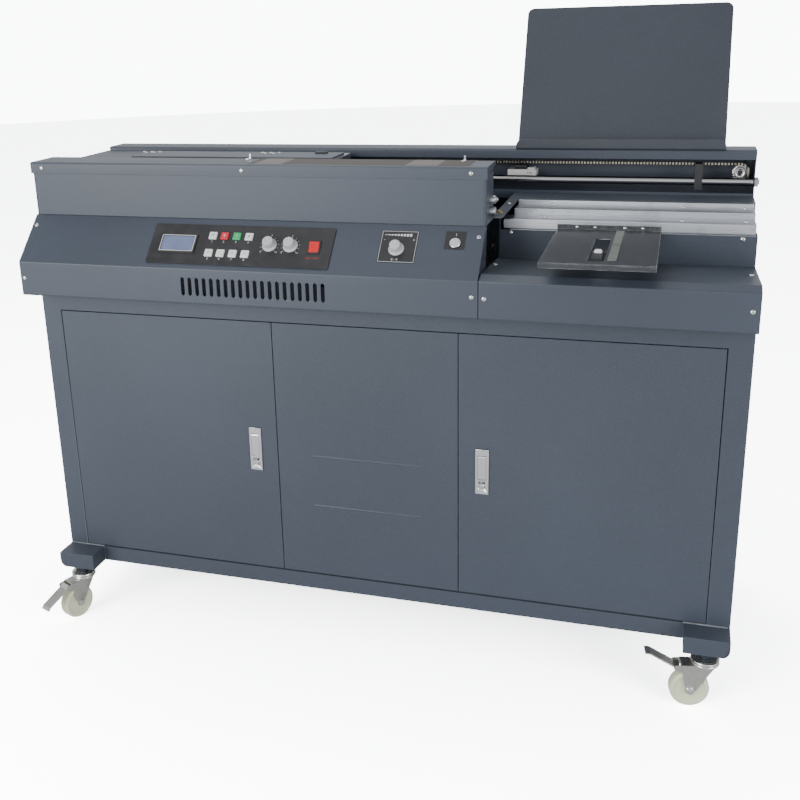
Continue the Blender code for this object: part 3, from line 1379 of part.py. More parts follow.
def make_milling_unit(y):
    """The cutter disc with its ring of teeth, on the shaft of a flanged upright motor."""
    top = SPINE_LEVEL - CUTTER_TOOTH_SIZE / 2
    motor_top = top - 2 * CUTTER_THICKNESS - GAP
    motor = cylinder(
        "milling_motor", (CUTTER_X, y, MILL_LOW), (CUTTER_X, y, motor_top), MILL_RADIUS, BLACK
    )
    half = MILL_FLANGE / 2
    neck_low = (CUTTER_X, y, CABINET_TOP + TANK_WALL / 2)
    join(
        motor,
        box(
            "mill_flange", (CUTTER_X - half, SERVICE_FRONT - OVERRUN, CABINET_TOP + GAP),
            (CUTTER_X + half, SERVICE_BACK + OVERRUN, CABINET_TOP + GAP + TANK_WALL),
        ),
        cylinder("neck", neck_low, (CUTTER_X, y, MILL_LOW + OVERRUN), MILL_RADIUS / 2),
        cylinder(
            "cutter_shaft", (CUTTER_X, y, motor_top - GAP), (CUTTER_X, y, top), CUTTER_SHAFT, segments=16
        ),
    )
    bore = CUTTER_SHAFT + GAP
    deep = -2 * CUTTER_THICKNESS
    profile = [
        (CUTTER_RADIUS, -CUTTER_THICKNESS / 2), (CUTTER_RADIUS, -CUTTER_THICKNESS), (HUB_RADIUS * 2, deep),
        (bore, deep), (bore, 0), (CUTTER_RADIUS - CUTTER_TOOTH_SIZE, 0),
    ]
    cutter = turned("milling_cutter", profile, STEEL, ring=True, steps=24)
    for i in range(CUTTER_TEETH):
        turn = Matrix.Rotation(2 * math.pi * i / CUTTER_TEETH, 4, "Z")
        side = CUTTER_TOOTH_SIZE / 2
        reach = CUTTER_RADIUS - CUTTER_TOOTH_SIZE
        tooth = box("tooth", (reach - side, -side, -side), (reach + side, side, side - EDGE_ROUND))
        tooth.data.transform(turn)
        hang(cutter, tooth)
        join(cutter, tooth)
    cutter.location = (CUTTER_X, y, top)


# Castor details
LEG = 0.0025
CROWN_REACH = 0.018
AXLE_BOSS = 0.009
AXLE_RADIUS = 0.005
AXLE_HEAD = 0.006
RIM_RADIUS = 0.023
HUB_CAP = 0.012
DISH = 0.003
TREAD = 0.006
PEDAL_SHEET = 0.003
PEDAL_X = 0.0535
PEDAL_Z = 0.0855
PEDAL_EAR = 0.006
PEDAL_LUG = 0.006
EAR_DROP = 0.022
PEDAL_REACH = 0.052
PEDAL_RISE = 0.026
PEDAL_LIP = 0.008
CASTORS = (
    ("front_left_castor", -1, 0, -112, -55),
    ("front_right_castor", 1, 0, 190, 0),
    ("rear_left_castor", -1, 1, 60, None),
    ("rear_right_castor", 1, 1, 110, None),
)


def make_castor(name, x, y, heading, pedal_angle=None):
    """A swivel castor: raceway and fork turn on the stem, the wheel on its axle, and the brake
    pedal, where there is one, on its pin across the fork."""
    half_gap = WHEEL_WIDTH / 2 + GAP
    crown_low = CROWN_TOP - CROWN_THICKNESS
    crown_back = TRAIL + CROWN_REACH
    boss = arc((TRAIL, WHEEL_RADIUS), AXLE_BOSS, 200, 340, 4)
    leg_outline = [(-CROWN_REACH, CROWN_TOP), *boss, (crown_back, CROWN_TOP)]
    fork = prism(name + "_fork", [leg_outline], "Y", -half_gap - LEG, half_gap + LEG, ZINC)
    wheel_room = box(
        "wheel_room", (-RACEWAY_RADIUS - OVERRUN, -half_gap, -OVERRUN),
        (crown_back + OVERRUN, half_gap, crown_low),
    )
    raceway = turned("raceway", [
        (STEM_RADIUS + GAP, CROWN_TOP + RACEWAY_HEIGHT), (RIM_RADIUS, CROWN_TOP + RACEWAY_HEIGHT),
        (RACEWAY_RADIUS, CROWN_TOP + RACEWAY_HEIGHT * 3 / 4), (RIM_RADIUS, CROWN_TOP + RACEWAY_HEIGHT / 2),
        (RACEWAY_RADIUS, CROWN_TOP + RACEWAY_HEIGHT / 4), (RIM_RADIUS, CROWN_TOP - GAP),
        (STEM_RADIUS + GAP, CROWN_TOP - GAP),
    ], ring=True, steps=18)
    axle_end = half_gap + AXLE_HEAD
    axle = cylinder(
        "axle", (TRAIL, -axle_end, WHEEL_RADIUS), (TRAIL, axle_end, WHEEL_RADIUS), AXLE_RADIUS, segments=12
    )
    hang(fork, wheel_room, raceway, axle)
    cut(fork, wheel_room)
    join(fork, raceway, axle)
    wheel = turned(name + "_wheel", [
        (AXLE_RADIUS + GAP, WHEEL_WIDTH / 2), (HUB_CAP, WHEEL_WIDTH / 2), (HUB_CAP, WHEEL_WIDTH / 2 - DISH),
        (WHEEL_RADIUS - TREAD, WHEEL_WIDTH / 2 - EDGE_ROUND), (WHEEL_RADIUS, WHEEL_WIDTH / 4),
        (WHEEL_RADIUS, -WHEEL_WIDTH / 4), (WHEEL_RADIUS - TREAD, -WHEEL_WIDTH / 2 + EDGE_ROUND),
        (HUB_CAP, -WHEEL_WIDTH / 2 + DISH), (HUB_CAP, -WHEEL_WIDTH / 2),
        (AXLE_RADIUS + GAP, -WHEEL_WIDTH / 2),
    ], NYLON, ring=True, steps=22)
    wheel.rotation_euler = (math.radians(90), 0, 0)
    wheel.location = (TRAIL, 0, WHEEL_RADIUS)
    wheel.parent = fork
    fork.location = (x, y, 0)
    fork.rotation_euler = (0, 0, math.radians(heading))
    if pedal_angle is None:
        return
    half = half_gap - GAP
    pedal = prism(name + "_pedal", [bent_sheet(
        [(-PEDAL_LUG, 0), (PEDAL_LUG, 0), (PEDAL_REACH, PEDAL_RISE), (PEDAL_REACH + PEDAL_LIP, PEDAL_RISE)],
        PEDAL_SHEET, PEDAL_SHEET,
    )], "Y", -half, half, ZINC)
    pedal.location = (PEDAL_X, 0, PEDAL_Z)
    pedal.rotation_euler = (0, -math.radians(pedal_angle), 0)
    pedal.parent = fork
    ear_edge = arc((PEDAL_X, PEDAL_Z), PEDAL_EAR, 60, -90, 4)
    ear_outline = [(TRAIL, CROWN_TOP), *ear_edge, (TRAIL, CROWN_TOP - EAR_DROP)]
    for side in (-1, 1):
        near, far = sorted((side * (half_gap + LEG / 4), side * (half_gap + LEG * 3 / 4)))
        ear = prism("pedal_ear", [ear_outline], "Y", near, far)
        hang(fork, ear)
        join(fork, ear)


def make_castors():
    for name, side, rear, heading, pedal_angle in CASTORS:
        y = FOOT_BACK_Y - STEM_SETBACK if rear else FOOT_FRONT_Y + STEM_SETBACK
        make_castor(name, side * STEM_X, y, heading, pedal_angle)


remove_startup_objects()
PARTS = collection("glue_binding_machine", False)
CUTTERS = collection("cutters", True)
PAINT = material("charcoal_paint", (0.055, 0.066, 0.085), 0.42, 0.0)
BLACK = material("black_plastic", (0.02, 0.02, 0.022), 0.45, 0.0)
ALUMINIUM = material("machined_aluminium", (0.62, 0.64, 0.67), 0.32, 1.0)
STEEL = material("ground_steel", (0.58, 0.57, 0.55), 0.22, 1.0)
CHROME = material("plated_steel", (0.70, 0.70, 0.71), 0.25, 1.0)
ZINC = material("zinc_plate", (0.60, 0.59, 0.55), 0.35, 1.0)
NYLON = material("cream_nylon", (0.78, 0.80, 0.60), 0.50, 0.0)
WHITE = material("white_plastic", (0.80, 0.80, 0.80), 0.40, 0.0)
GREY = material("grey_plastic", (0.42, 0.44, 0.47), 0.45, 0.0)
RED = material("red_plastic", (0.65, 0.03, 0.03), 0.40, 0.0)
GREEN = material("green_plastic", (0.04, 0.45, 0.12), 0.40, 0.0)

SLOPE = bpy.data.objects.new("control_slope", None)
PARTS.objects.link(SLOPE)
SLOPE.location = (0, FASCIA_Y, CREASE_Z)
SLOPE.rotation_euler = (SLOPE_ANGLE, 0, 0)

make_cabinet()
make_panels()
for side, prefix in ((-1, "left"), (1, "right")):
    make_lock(side, prefix, make_door(side, prefix + "_door"))
make_upper_chassis()
make_console()
make_control_panel()
make_keys()
for knob_name, knob_place in KNOBS.items():
    make_knob(knob_name, knob_place, GAP + PANEL_THICKNESS)
make_knob("speed_knob", SIDE_KNOB, 0)
make_rocker()
make_start_button()
make_hood()
make_delivery_side()
make_back_box()
make_guide_rod()
make_chain()
make_sprocket("drive_sprocket", DRIVE_X)
make_sprocket("idler_sprocket", SPROCKET_X)
make_drive_motor()
make_nipping_station()
make_cover_table()
make_cover_rack()
make_carriage()
make_glue_line()
make_castors()
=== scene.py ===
import json
import math

import bmesh
import bpy
from mathutils import Matrix, Vector

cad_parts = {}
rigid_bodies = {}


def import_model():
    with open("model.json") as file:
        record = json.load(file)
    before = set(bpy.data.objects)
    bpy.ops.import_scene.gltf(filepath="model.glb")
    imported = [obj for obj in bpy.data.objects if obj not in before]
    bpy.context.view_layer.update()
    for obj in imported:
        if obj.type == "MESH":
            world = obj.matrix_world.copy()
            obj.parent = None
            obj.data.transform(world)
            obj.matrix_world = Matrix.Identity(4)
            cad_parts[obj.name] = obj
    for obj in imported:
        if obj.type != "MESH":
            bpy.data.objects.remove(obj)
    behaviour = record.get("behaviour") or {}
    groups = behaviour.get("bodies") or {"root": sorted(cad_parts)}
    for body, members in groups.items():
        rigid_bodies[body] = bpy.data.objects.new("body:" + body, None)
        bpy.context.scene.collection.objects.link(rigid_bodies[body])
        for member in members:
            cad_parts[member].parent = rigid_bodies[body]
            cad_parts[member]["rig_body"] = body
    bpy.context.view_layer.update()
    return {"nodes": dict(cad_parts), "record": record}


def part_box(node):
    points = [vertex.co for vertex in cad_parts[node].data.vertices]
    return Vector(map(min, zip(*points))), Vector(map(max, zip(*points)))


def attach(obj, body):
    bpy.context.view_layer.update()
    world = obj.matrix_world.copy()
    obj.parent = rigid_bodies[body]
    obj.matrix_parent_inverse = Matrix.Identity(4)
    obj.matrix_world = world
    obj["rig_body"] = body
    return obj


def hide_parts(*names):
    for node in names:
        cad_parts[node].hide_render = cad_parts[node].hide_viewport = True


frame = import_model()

# The photograph's view: the camera stands in front of the console's right half, at the height of the
# cover rack, and looks down and to the left. The picture was cropped, so its middle is off the axis.
picture_width = 800
picture_middle = picture_width / 2
focal_length_px = 1039.91
axis_px = (350, 340)
camera_place = Vector((0.5734, -2.0439, 1.2939))
camera_yaw = -0.3105
camera_pitch = -0.2996
camera_roll = -0.0323
sensor_width = 36

ahead = Vector((
    math.sin(camera_yaw) * math.cos(camera_pitch), math.cos(camera_yaw) * math.cos(camera_pitch),
    math.sin(camera_pitch),
))
level_right = Vector((math.cos(camera_yaw), -math.sin(camera_yaw), 0))
level_up = level_right.cross(ahead)
picture_right = level_right * math.cos(camera_roll) + level_up * math.sin(camera_roll)
picture_up = level_up * math.cos(camera_roll) - level_right * math.sin(camera_roll)
bpy.ops.object.camera_add(location=camera_place)
camera = bpy.context.object
camera.rotation_euler = Matrix((picture_right, picture_up, -ahead)).transposed().to_euler()
camera.data.sensor_width = sensor_width
camera.data.lens = focal_length_px * sensor_width / picture_width
camera.data.shift_x = (picture_middle - axis_px[0]) / picture_width
camera.data.shift_y = (axis_px[1] - picture_middle) / picture_width
bpy.context.scene.camera = camera


# The studio: a wide pale matt floor and an even pale surround, a large soft light overhead and to the
# front left, and a weaker one from the right.
def node(tree, kind, inputs=None, **settings):
    """Adds a shader node. An input is given a value, or the socket that feeds it."""
    made = tree.nodes.new("ShaderNode" + kind)
    for name, value in settings.items():
        setattr(made, name, value)
    for name, value in (inputs or {}).items():
        if isinstance(value, bpy.types.NodeSocket):
            tree.links.new(value, made.inputs[name])
        else:
            made.inputs[name].default_value = value
    return made


def new_material(name):
    """A material, its node tree and its shader."""
    made = bpy.data.materials.new(name)
    made.use_nodes = True
    return made, made.node_tree, made.node_tree.nodes["Principled BSDF"]


def own_place(tree):
    """The place in the piece's own frame, which moves with it."""
    return node(tree, "TexCoord").outputs["Object"]


def noise(tree, place, scale, detail):
    return node(tree, "TexNoise", {"Vector": place, "Scale": scale, "Detail": detail}).outputs["Fac"]


def product(tree, first, second):
    return node(tree, "Math", {0: first, 1: second}, operation="MULTIPLY").outputs[0]


def floor_material():
    """A matt pale floor that photographs almost white, and lights the machine as a grey one would."""
    made, tree, shader = new_material("studio_floor")
    cloud = noise(tree, own_place(tree), 1.5, 3.0)
    shade = node(tree, "MapRange", {"Value": cloud, "To Min": 0.97, "To Max": 1.0}).outputs["Result"]
    seen = node(tree, "LightPath").outputs["Is Camera Ray"]
    pale = node(tree, "MapRange", {"Value": seen, "To Min": 0.75, "To Max": 11.5}).outputs["Result"]
    tone = product(tree, shade, pale)
    matt = node(tree, "BsdfDiffuse", {"Color": node(tree, "CombineColor", {0: tone, 1: tone, 2: tone}).outputs[0]})
    tree.nodes.remove(shader)
    tree.links.new(matt.outputs[0], tree.nodes["Material Output"].inputs["Surface"])
    return made


floor_radius = 14
bpy.ops.mesh.primitive_circle_add(vertices=96, radius=floor_radius, fill_type="NGON", location=(0, 0, 0))
floor = bpy.context.object
floor.name = "studio_floor"
floor.data.materials.append(floor_material())

surround = bpy.data.worlds.new("studio_surround")
surround.use_nodes = True
tree = surround.node_tree
sky_direction = node(tree, "TexCoord").outputs["Generated"]
height = node(tree, "SeparateXYZ", {"Vector": sky_direction}).outputs["Z"]
glow = node(tree, "MapRange", {
    "Value": height, "From Min": 0.15, "From Max": 0.9, "To Min": 1.05, "To Max": 0.40,
}).outputs["Result"]
seen = node(tree, "LightPath").outputs["Is Camera Ray"]
strength = node(tree, "Mix", {0: seen, 2: glow, 3: 11.0}, data_type="FLOAT").outputs[0]
tree.nodes["Background"].inputs["Color"].default_value = (0.93, 0.96, 1.0, 1)
tree.links.new(strength, tree.nodes["Background"].inputs["Strength"])
bpy.context.scene.world = surround

for name, place, aim, size, power in (
    ("overhead_light", (-0.9, 0.6, 3.6), (0, 0, 0.9), 2.6, 40),
    ("front_light", (-2.0, -3.6, 1.5), (0, 0, 0.5), 2.4, 120),
    ("right_light", (3.0, -2.0, 1.3), (0.5, 0, 0.6), 1.6, 45),
):
    bpy.ops.object.light_add(type="AREA", location=place)
    light = bpy.context.object
    light.name = name
    light.rotation_euler = (Vector(aim) - Vector(place)).to_track_quat("-Z", "Y").to_euler()
    light.data.size = size
    light.data.energy = power


# Cabinet frame: folded and welded steel sheet with two foot bars, in charcoal powder coat. The paint has a fine
# orange peel and a few lighter grains that are painted glints. Its edges are lightened partly as rubbed wear and
# partly as a painted highlight, and there is a little dust on what faces up.
def new_group(name, inputs, outputs):
    """An empty node group with its sockets, and its input and output nodes."""
    group = bpy.data.node_groups.new(name, "ShaderNodeTree")
    for label, kind, value in inputs:
        socket = group.interface.new_socket(label, in_out="INPUT", socket_type="NodeSocket" + kind)
        socket.default_value = value
    for label, kind in outputs:
        group.interface.new_socket(label, in_out="OUTPUT", socket_type="NodeSocket" + kind)
    return group, group.nodes.new("NodeGroupInput"), group.nodes.new("NodeGroupOutput")


finish_outputs = (("Colour", "Color"), ("Roughness", "Float"), ("Normal", "Vector"))


def edge_mask(tree, radius):
    """1 on an edge that the radius rounds over, 0 on a flat face."""
    rounded = node(tree, "Bevel", {"Radius": radius}, samples=4)
    flat = node(tree, "NewGeometry")
    same = node(
        tree, "VectorMath", {0: rounded.outputs["Normal"], 1: flat.outputs["Normal"]}, operation="DOT_PRODUCT"
    )
    return node(tree, "MapRange", {
        "Value": same.outputs["Value"], "From Min": 0.995, "From Max": 0.90, "To Min": 0.0, "To Max": 1.0,
    }).outputs["Result"]


def mix(tree, factor, first, second):
    made = node(tree, "Mix", data_type="RGBA")
    for index, value in ((0, factor), (6, first), (7, second)):
        if isinstance(value, bpy.types.NodeSocket):
            tree.links.new(value, made.inputs[index])
        else:
            made.inputs[index].default_value = value
    return made.outputs[2]


def ramp(tree, value, low, high):
    """0 below the low value, 1 above the high one."""
    return node(tree, "MapRange", {"Value": value, "From Min": low, "From Max": high}).outputs["Result"]


def upward(tree):
    """How much the surface faces up."""
    return node(tree, "SeparateXYZ", {"Vector": node(tree, "NewGeometry").outputs["Normal"]}).outputs["Z"]


def bumps(tree, height, strength, distance=0.0002):
    return node(tree, "Bump", {"Height": height, "Strength": strength, "Distance": distance}).outputs["Normal"]


def give(group, result, colour, gloss, relief):
    """Puts a group's three results out."""
    for label, source in (("Colour", colour), ("Roughness", gloss), ("Normal", relief)):
        group.links.new(source, result.inputs[label])
    return group


def powder_coat_group():
    group, given, result = new_group("powder_coat", (
        ("Colour", "Color", (0.050, 0.062, 0.085, 1)), ("Rubbed And Highlight", "Color", (0.12, 0.14, 0.17, 1)),
        ("Dust", "Color", (0.26, 0.27, 0.29, 1)),
    ), finish_outputs)
    place = own_place(group)
    cloud = noise(group, place, 2.2, 4.0)
    glint_noise = noise(group, place, 1500.0, 1.0)
    peel = noise(group, place, 520.0, 2.0)
    deep = node(group, "HueSaturation", {"Value": 0.86, "Color": given.outputs["Colour"]}).outputs["Color"]
    colour = mix(group, ramp(group, cloud, 0.35, 0.65), deep, given.outputs["Colour"])
    # The lighter grains here are painted glints in the second colour. The lightened edges next are partly rubbed
    # wear and partly a painted highlight along the edges.
    glint_flecks = product(group, ramp(group, glint_noise, 0.60, 0.70), 0.55)
    colour = mix(group, glint_flecks, colour, given.outputs["Rubbed And Highlight"])
    patchy = noise(group, place, 60.0, 4.0)
    rubbed_and_highlit = product(group, edge_mask(group, 0.0012), ramp(group, patchy, 0.35, 0.7))
    colour = mix(group, rubbed_and_highlit, colour, given.outputs["Rubbed And Highlight"])
    level = ramp(group, upward(group), 0.75, 1.0)
    film = noise(group, place, 9.0, 6.0)
    settled = product(group, level, ramp(group, film, 0.35, 0.9))
    colour = mix(group, product(group, settled, 0.16), colour, given.outputs["Dust"])
    gloss = node(group, "MapRange", {"Value": cloud, "To Min": 0.34, "To Max": 0.46}).outputs["Result"]
    return give(group, result, colour, gloss, bumps(group, peel, 0.16, 0.0004))


def finish_material(name, group, inputs, **shader_values):
    """A material whose colour, roughness and relief come from a node group."""
    made, tree, shader = new_material(name)
    effect = tree.nodes.new("ShaderNodeGroup")
    effect.node_tree = group
    for label, value in inputs.items():
        effect.inputs[label].default_value = value
    for label, target in (("Colour", "Base Color"), ("Roughness", "Roughness"), ("Normal", "Normal")):
        tree.links.new(effect.outputs[label], shader.inputs[target])
    for label, value in shader_values.items():
        shader.inputs[label.replace("_", " ")].default_value = value
    return made


def deselect_all():
    if bpy.context.mode != "OBJECT":
        bpy.ops.object.mode_set(mode="OBJECT")
    bpy.ops.object.select_all(action="DESELECT")


def fix_place():
    """Puts the place, turn and size of what is selected into its mesh."""
    bpy.ops.object.transform_apply(location=True, rotation=True, scale=True)


def take(piece):
    """Makes the piece the only one selected and the active one."""
    deselect_all()
    piece.select_set(True)
    bpy.context.view_layer.objects.active = piece


def added(name, data):
    """A new piece in the scene, selected alone."""
    made = bpy.data.objects.new(name, data)
    bpy.context.scene.collection.objects.link(made)
    take(made)
    return made


def apply_modifiers(piece):
    for change in list(piece.modifiers):
        bpy.ops.object.modifier_apply(modifier=change.name)


def settle(piece, body, look, smooth=35):
    """Ends a piece: modifiers and place go into its mesh, and it gets its finish and its body."""
    take(piece)
    apply_modifiers(piece)
    fix_place()
    bpy.ops.object.mode_set(mode="EDIT")
    bpy.ops.mesh.select_all(action="SELECT")
    bpy.ops.mesh.normals_make_consistent(inside=False)
    bpy.ops.object.mode_set(mode="OBJECT")
    bpy.ops.object.shade_smooth_by_angle(angle=math.radians(smooth))
    flatten = piece.modifiers.new("Flatten", "WEIGHTED_NORMAL")
    flatten.keep_sharp = True
    bpy.ops.object.modifier_apply(modifier=flatten.name)
    piece.data.materials.clear()
    piece.data.materials.append(look)
    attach(piece, body)
    return piece


def dressed(node_name, look, width=0.0005, segments=2, shortest=0.006, smooth=35):
    """A merged copy of a solid with its long edges rounded, which stands for that solid."""
    source = frame["nodes"][node_name]
    piece = added(node_name + "_finished", source.data.copy())
    bpy.ops.object.mode_set(mode="EDIT")
    bpy.ops.mesh.select_all(action="SELECT")
    bpy.ops.mesh.remove_doubles(threshold=0.00001)
    bpy.ops.mesh.dissolve_limited(angle_limit=math.radians(0.5))
    bpy.ops.mesh.quads_convert_to_tris(quad_method="BEAUTY", ngon_method="BEAUTY")
    if width:
        bpy.ops.mesh.select_all(action="DESELECT")
        shape = bmesh.from_edit_mesh(piece.data)
        for edge in shape.edges:
            sharp = len(edge.link_faces) == 2 and edge.calc_face_angle() > math.radians(40)
            edge.select = sharp and edge.calc_length() > shortest
        bmesh.update_edit_mesh(piece.data)
        bpy.ops.mesh.bevel(offset=width, segments=segments, clamp_overlap=False)
    bpy.ops.object.mode_set(mode="OBJECT")
    settle(piece, source["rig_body"], look, smooth)
    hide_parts(node_name)
    return piece


powder_coat = powder_coat_group()
charcoal = finish_material("charcoal_powder_coat", powder_coat, {})
dressed("cabinet_frame", charcoal, 0.0016, 3, 0.03)

# Weld beads between the foot bars and the cabinet, laid by hand, so that each is a row of ripples.
# They were painted with the frame, and their light grains and edges are partly rubbed paint and partly painted
# glints and highlights.
bead_radius = 0.0022
bead_step = 0.0022
foot_top = 0.1547
cabinet_front = -0.175
cabinet_back = 0.238
half_width = 0.72
foot_width = 0.085
weld_paint = finish_material("weld_bead_paint", powder_coat, {
    "Colour": (0.10, 0.11, 0.13, 1), "Rubbed And Highlight": (0.45, 0.46, 0.47, 1),
})


def bead(name, start, end):
    """A rippled weld bead from one point to another."""
    start, end = Vector(start), Vector(end)
    count = round((end - start).length / bead_step)
    bpy.ops.mesh.primitive_uv_sphere_add(segments=12, ring_count=8, radius=bead_radius, location=start)
    made = bpy.context.object
    made.name = name
    row = made.modifiers.new("Row", "ARRAY")
    row.count = count
    row.use_relative_offset = False
    row.use_constant_offset = True
    row.constant_offset_displace = (end - start) / count
    return settle(made, "frame", weld_paint, 60)


for side, word in ((-1, "left"), (1, "right")):
    inner = side * (half_width - foot_width)
    outer = side * (half_width - 0.004)
    bead(f"{word}_front_weld", (inner, cabinet_front, foot_top), (outer, cabinet_front, foot_top))
    bead(f"{word}_back_weld", (inner, cabinet_back, foot_top), (outer, cabinet_back, foot_top))

# Fixed centre panel and the two doors: folded pans in the same powder coat. The doors turn on pins
# at their outer edges, and the centre panel has two pressed ribs.
dressed("centre_panel", charcoal, 0.0007)
for side in ("left", "right"):
    dressed(side + "_door", charcoal, 0.0007)


# Door locks: satin chrome swing-handle locks, each with its plate, its handle in a pocket, and a
# round push button with a key slot.
def gloss_between(group, given, pattern):
    """A roughness from the group's low to its high value, after a pattern."""
    return node(group, "MapRange", {
        "Value": pattern, "From Min": 0.3, "From Max": 0.7, "To Min": given.outputs["Low"],
        "To Max": given.outputs["High"],
    }).outputs["Result"]


def bright_metal_group():
    group, given, result = new_group("bright_metal", (
        ("Colour", "Color", (0.62, 0.64, 0.67, 1)), ("Dull And Shade", "Color", (0.32, 0.33, 0.34, 1)),
        ("Grain", "Vector", (1.0, 60.0, 60.0)), ("Scale", "Float", 12.0), ("Low", "Float", 0.22),
        ("High", "Float", 0.42), ("Relief", "Float", 0.12), ("Stain", "Float", 0.35), ("Dark Top", "Float", 0.0),
    ), finish_outputs)
    place = own_place(group)
    stretched = node(group, "VectorMath", {0: place, 1: given.outputs["Grain"]}, operation="MULTIPLY")
    lines = noise(group, stretched.outputs["Vector"], given.outputs["Scale"], 5.0)
    patches = noise(group, place, 28.0, 6.0)
    stained = product(group, ramp(group, patches, 0.55, 0.75), given.outputs["Stain"])
    streaked = product(group, ramp(group, lines, 0.4, 0.75), 0.35)
    # The top shade value paints shade on faces that look up. They are mixed towards the second colour, so tops are
    # drawn darker than side faces.
    level = ramp(group, upward(group), 0.8, 0.97)
    colour = given.outputs["Colour"]
    for dulled_and_shaded in (streaked, stained, product(group, level, given.outputs["Dark Top"])):
        colour = mix(group, dulled_and_shaded, colour, given.outputs["Dull And Shade"])
    gloss = gloss_between(group, given, lines)
    return give(group, result, colour, gloss, bumps(group, lines, given.outputs["Relief"]))


bright_metal = bright_metal_group()


def coloured(name, group, second, colours, values, metallic):
    """A finish from a colour, a second one for its dull or worn places and for any painted shade on a metal's tops,
    and the group's other values.
    """
    inputs = {"Colour": (*colours[0], 1), second: (*colours[1], 1)}
    inputs.update({label.replace("_", " "): value for label, value in values.items()})
    return finish_material(name, group, inputs, Metallic=metallic)


def metal(name, colour, dull_and_shade, Metallic=1.0, **values):
    return coloured(name, bright_metal, "Dull And Shade", (colour, dull_and_shade), values, Metallic)


plated = metal(
    "satin_chrome", (0.70, 0.70, 0.71), (0.50, 0.50, 0.51), Grain=(20.0, 20.0, 1.0), Scale=30.0, Low=0.18,
    High=0.30, Stain=0.1,
)
for side in ("left", "right"):
    dressed(side + "_lock_plate", plated, 0.0004, 2, 0.004)
    dressed(side + "_lock_handle", plated, 0.0006, 3, 0.004)


def span(node_name):
    """The middle and the size of a solid's box."""
    low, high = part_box(node_name)
    return (low + high) / 2, high - low


def blank(name, low, high, rounding=0.0005, segments=2):
    """A block between two corners with rounded edges."""
    low, high = Vector(low), Vector(high)
    bpy.ops.mesh.primitive_cube_add(size=1, location=(low + high) / 2)
    made = bpy.context.object
    made.name = name
    made.scale = high - low
    bpy.ops.object.transform_apply(location=False, rotation=False, scale=True)
    if rounding:
        edge = made.modifiers.new("Edges", "BEVEL")
        edge.width = rounding
        edge.segments = segments
    return made


def turned(name, profile, steps=48):
    """A profile of (radius, height) points spun about the Z axis."""
    mesh = bpy.data.meshes.new(name)
    edges = [(i, i + 1) for i in range(len(profile) - 1)]
    mesh.from_pydata([(radius, 0, height) for radius, height in profile], edges, [])
    made = added(name, mesh)
    bpy.ops.object.mode_set(mode="EDIT")
    bpy.ops.mesh.select_all(action="SELECT")
    bpy.ops.mesh.spin(steps=steps, angle=2 * math.pi, center=(0, 0, 0), axis=(0, 0, 1), use_auto_merge=True)
    bpy.ops.mesh.select_all(action="SELECT")
    bpy.ops.mesh.remove_doubles(threshold=0.00001)
    bpy.ops.mesh.normals_make_consistent(inside=False)
    bpy.ops.object.mode_set(mode="OBJECT")
    return made


def combine(piece, tool, operation):
    """Joins the tool to the piece or cuts it out, and removes the tool."""
    take(piece)
    change = piece.modifiers.new("Combine", "BOOLEAN")
    change.operation = operation
    change.object = tool
    bpy.ops.object.modifier_apply(modifier=change.name)
    bpy.data.objects.remove(tool)
    return piece


def merged(name, pieces):
    """One piece made of several that have the same finish."""
    deselect_all()
    for piece in pieces:
        piece.select_set(True)
    bpy.context.view_layer.objects.active = pieces[0]
    bpy.ops.object.join()
    pieces[0].name = name
    return pieces[0]


def lay(piece, place, towards):
    """Puts a piece that was made along +Z at a place, pointing another way."""
    turn = Vector(towards).to_track_quat("Z", "Y").to_matrix().to_4x4()
    piece.data.transform(Matrix.Translation(place) @ turn)
    return piece


key_slot_width = 0.0016
key_slot_length = 0.0062
for side in ("left", "right"):
    middle, size = span(side + "_lock_button")
    radius = size.x / 2
    button = turned(side + "_push_button", [
        (0, size.y), (radius * 0.78, size.y), (radius, size.y - 0.001), (radius, 0), (0, 0),
    ])
    slot = blank("key_slot", (-key_slot_width / 2, -key_slot_length / 2, size.y - 0.0015),
                 (key_slot_width / 2, key_slot_length / 2, size.y + 0.001), 0)
    combine(button, slot, "DIFFERENCE")
    lay(button, (middle.x, middle.y + size.y / 2, middle.z), (0, -1, 0))
    settle(button, side + "_lock_button", plated)
    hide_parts(side + "_lock_button")

# Upper chassis: the frame that carries the hood, the back box and the nipping bars, in the same coat.
dressed("upper_chassis", charcoal, 0.0004)

# Console cover: one folded sheet makes the fascia with its vents and the control slope. The slope's own
# frame has x along the machine, y up the slope from the crease, and z off the sheet.
dressed("console_cover", charcoal, 0.0006)
slope_foot = Vector((0, -0.24, 0.8343))
slope_depth = 0.083
slope_rise = 0.0842
slope = Matrix.Translation(slope_foot) @ Matrix.Rotation(math.atan2(slope_rise, slope_depth), 4, "X")

# Cover screws: zinc-plated pan heads with a cross recess, driven by hand, so that no two recesses stand
# the same way. These four hold the console at its ends.
screw_radius = 0.0045
screw_turn = math.radians(37)


def pan_head(radius):
    """A domed screw head with a cross recess, made along +Z."""
    height = radius * 0.5
    made = turned("pan_head", [
        (0, height), (radius * 0.45, height * 0.97), (radius * 0.78, height * 0.80), (radius * 0.95, height * 0.5),
        (radius, height * 0.2), (radius, -0.0002), (0, -0.0002),
    ], 28)
    for long_x, long_y in ((0.55, 0.12), (0.12, 0.55)):
        cross = blank("recess", (-radius * long_x, -radius * long_y, height * 0.4),
                      (radius * long_x, radius * long_y, height * 2), 0)
        combine(made, cross, "DIFFERENCE")
    return made


def driven(name, places, towards, body, radius=screw_radius):
    """Screws of one size at their places, each a copy of one head, as one piece."""
    head = pan_head(radius)
    copies = []
    for number, place in enumerate(places):
        copy = added(name, head.data.copy())
        copy.data.transform(Matrix.Rotation(number * screw_turn, 4, "Z"))
        copies.append(lay(copy, Vector(place), towards))
    bpy.data.objects.remove(head)
    return settle(merged(name, copies), body, plated)


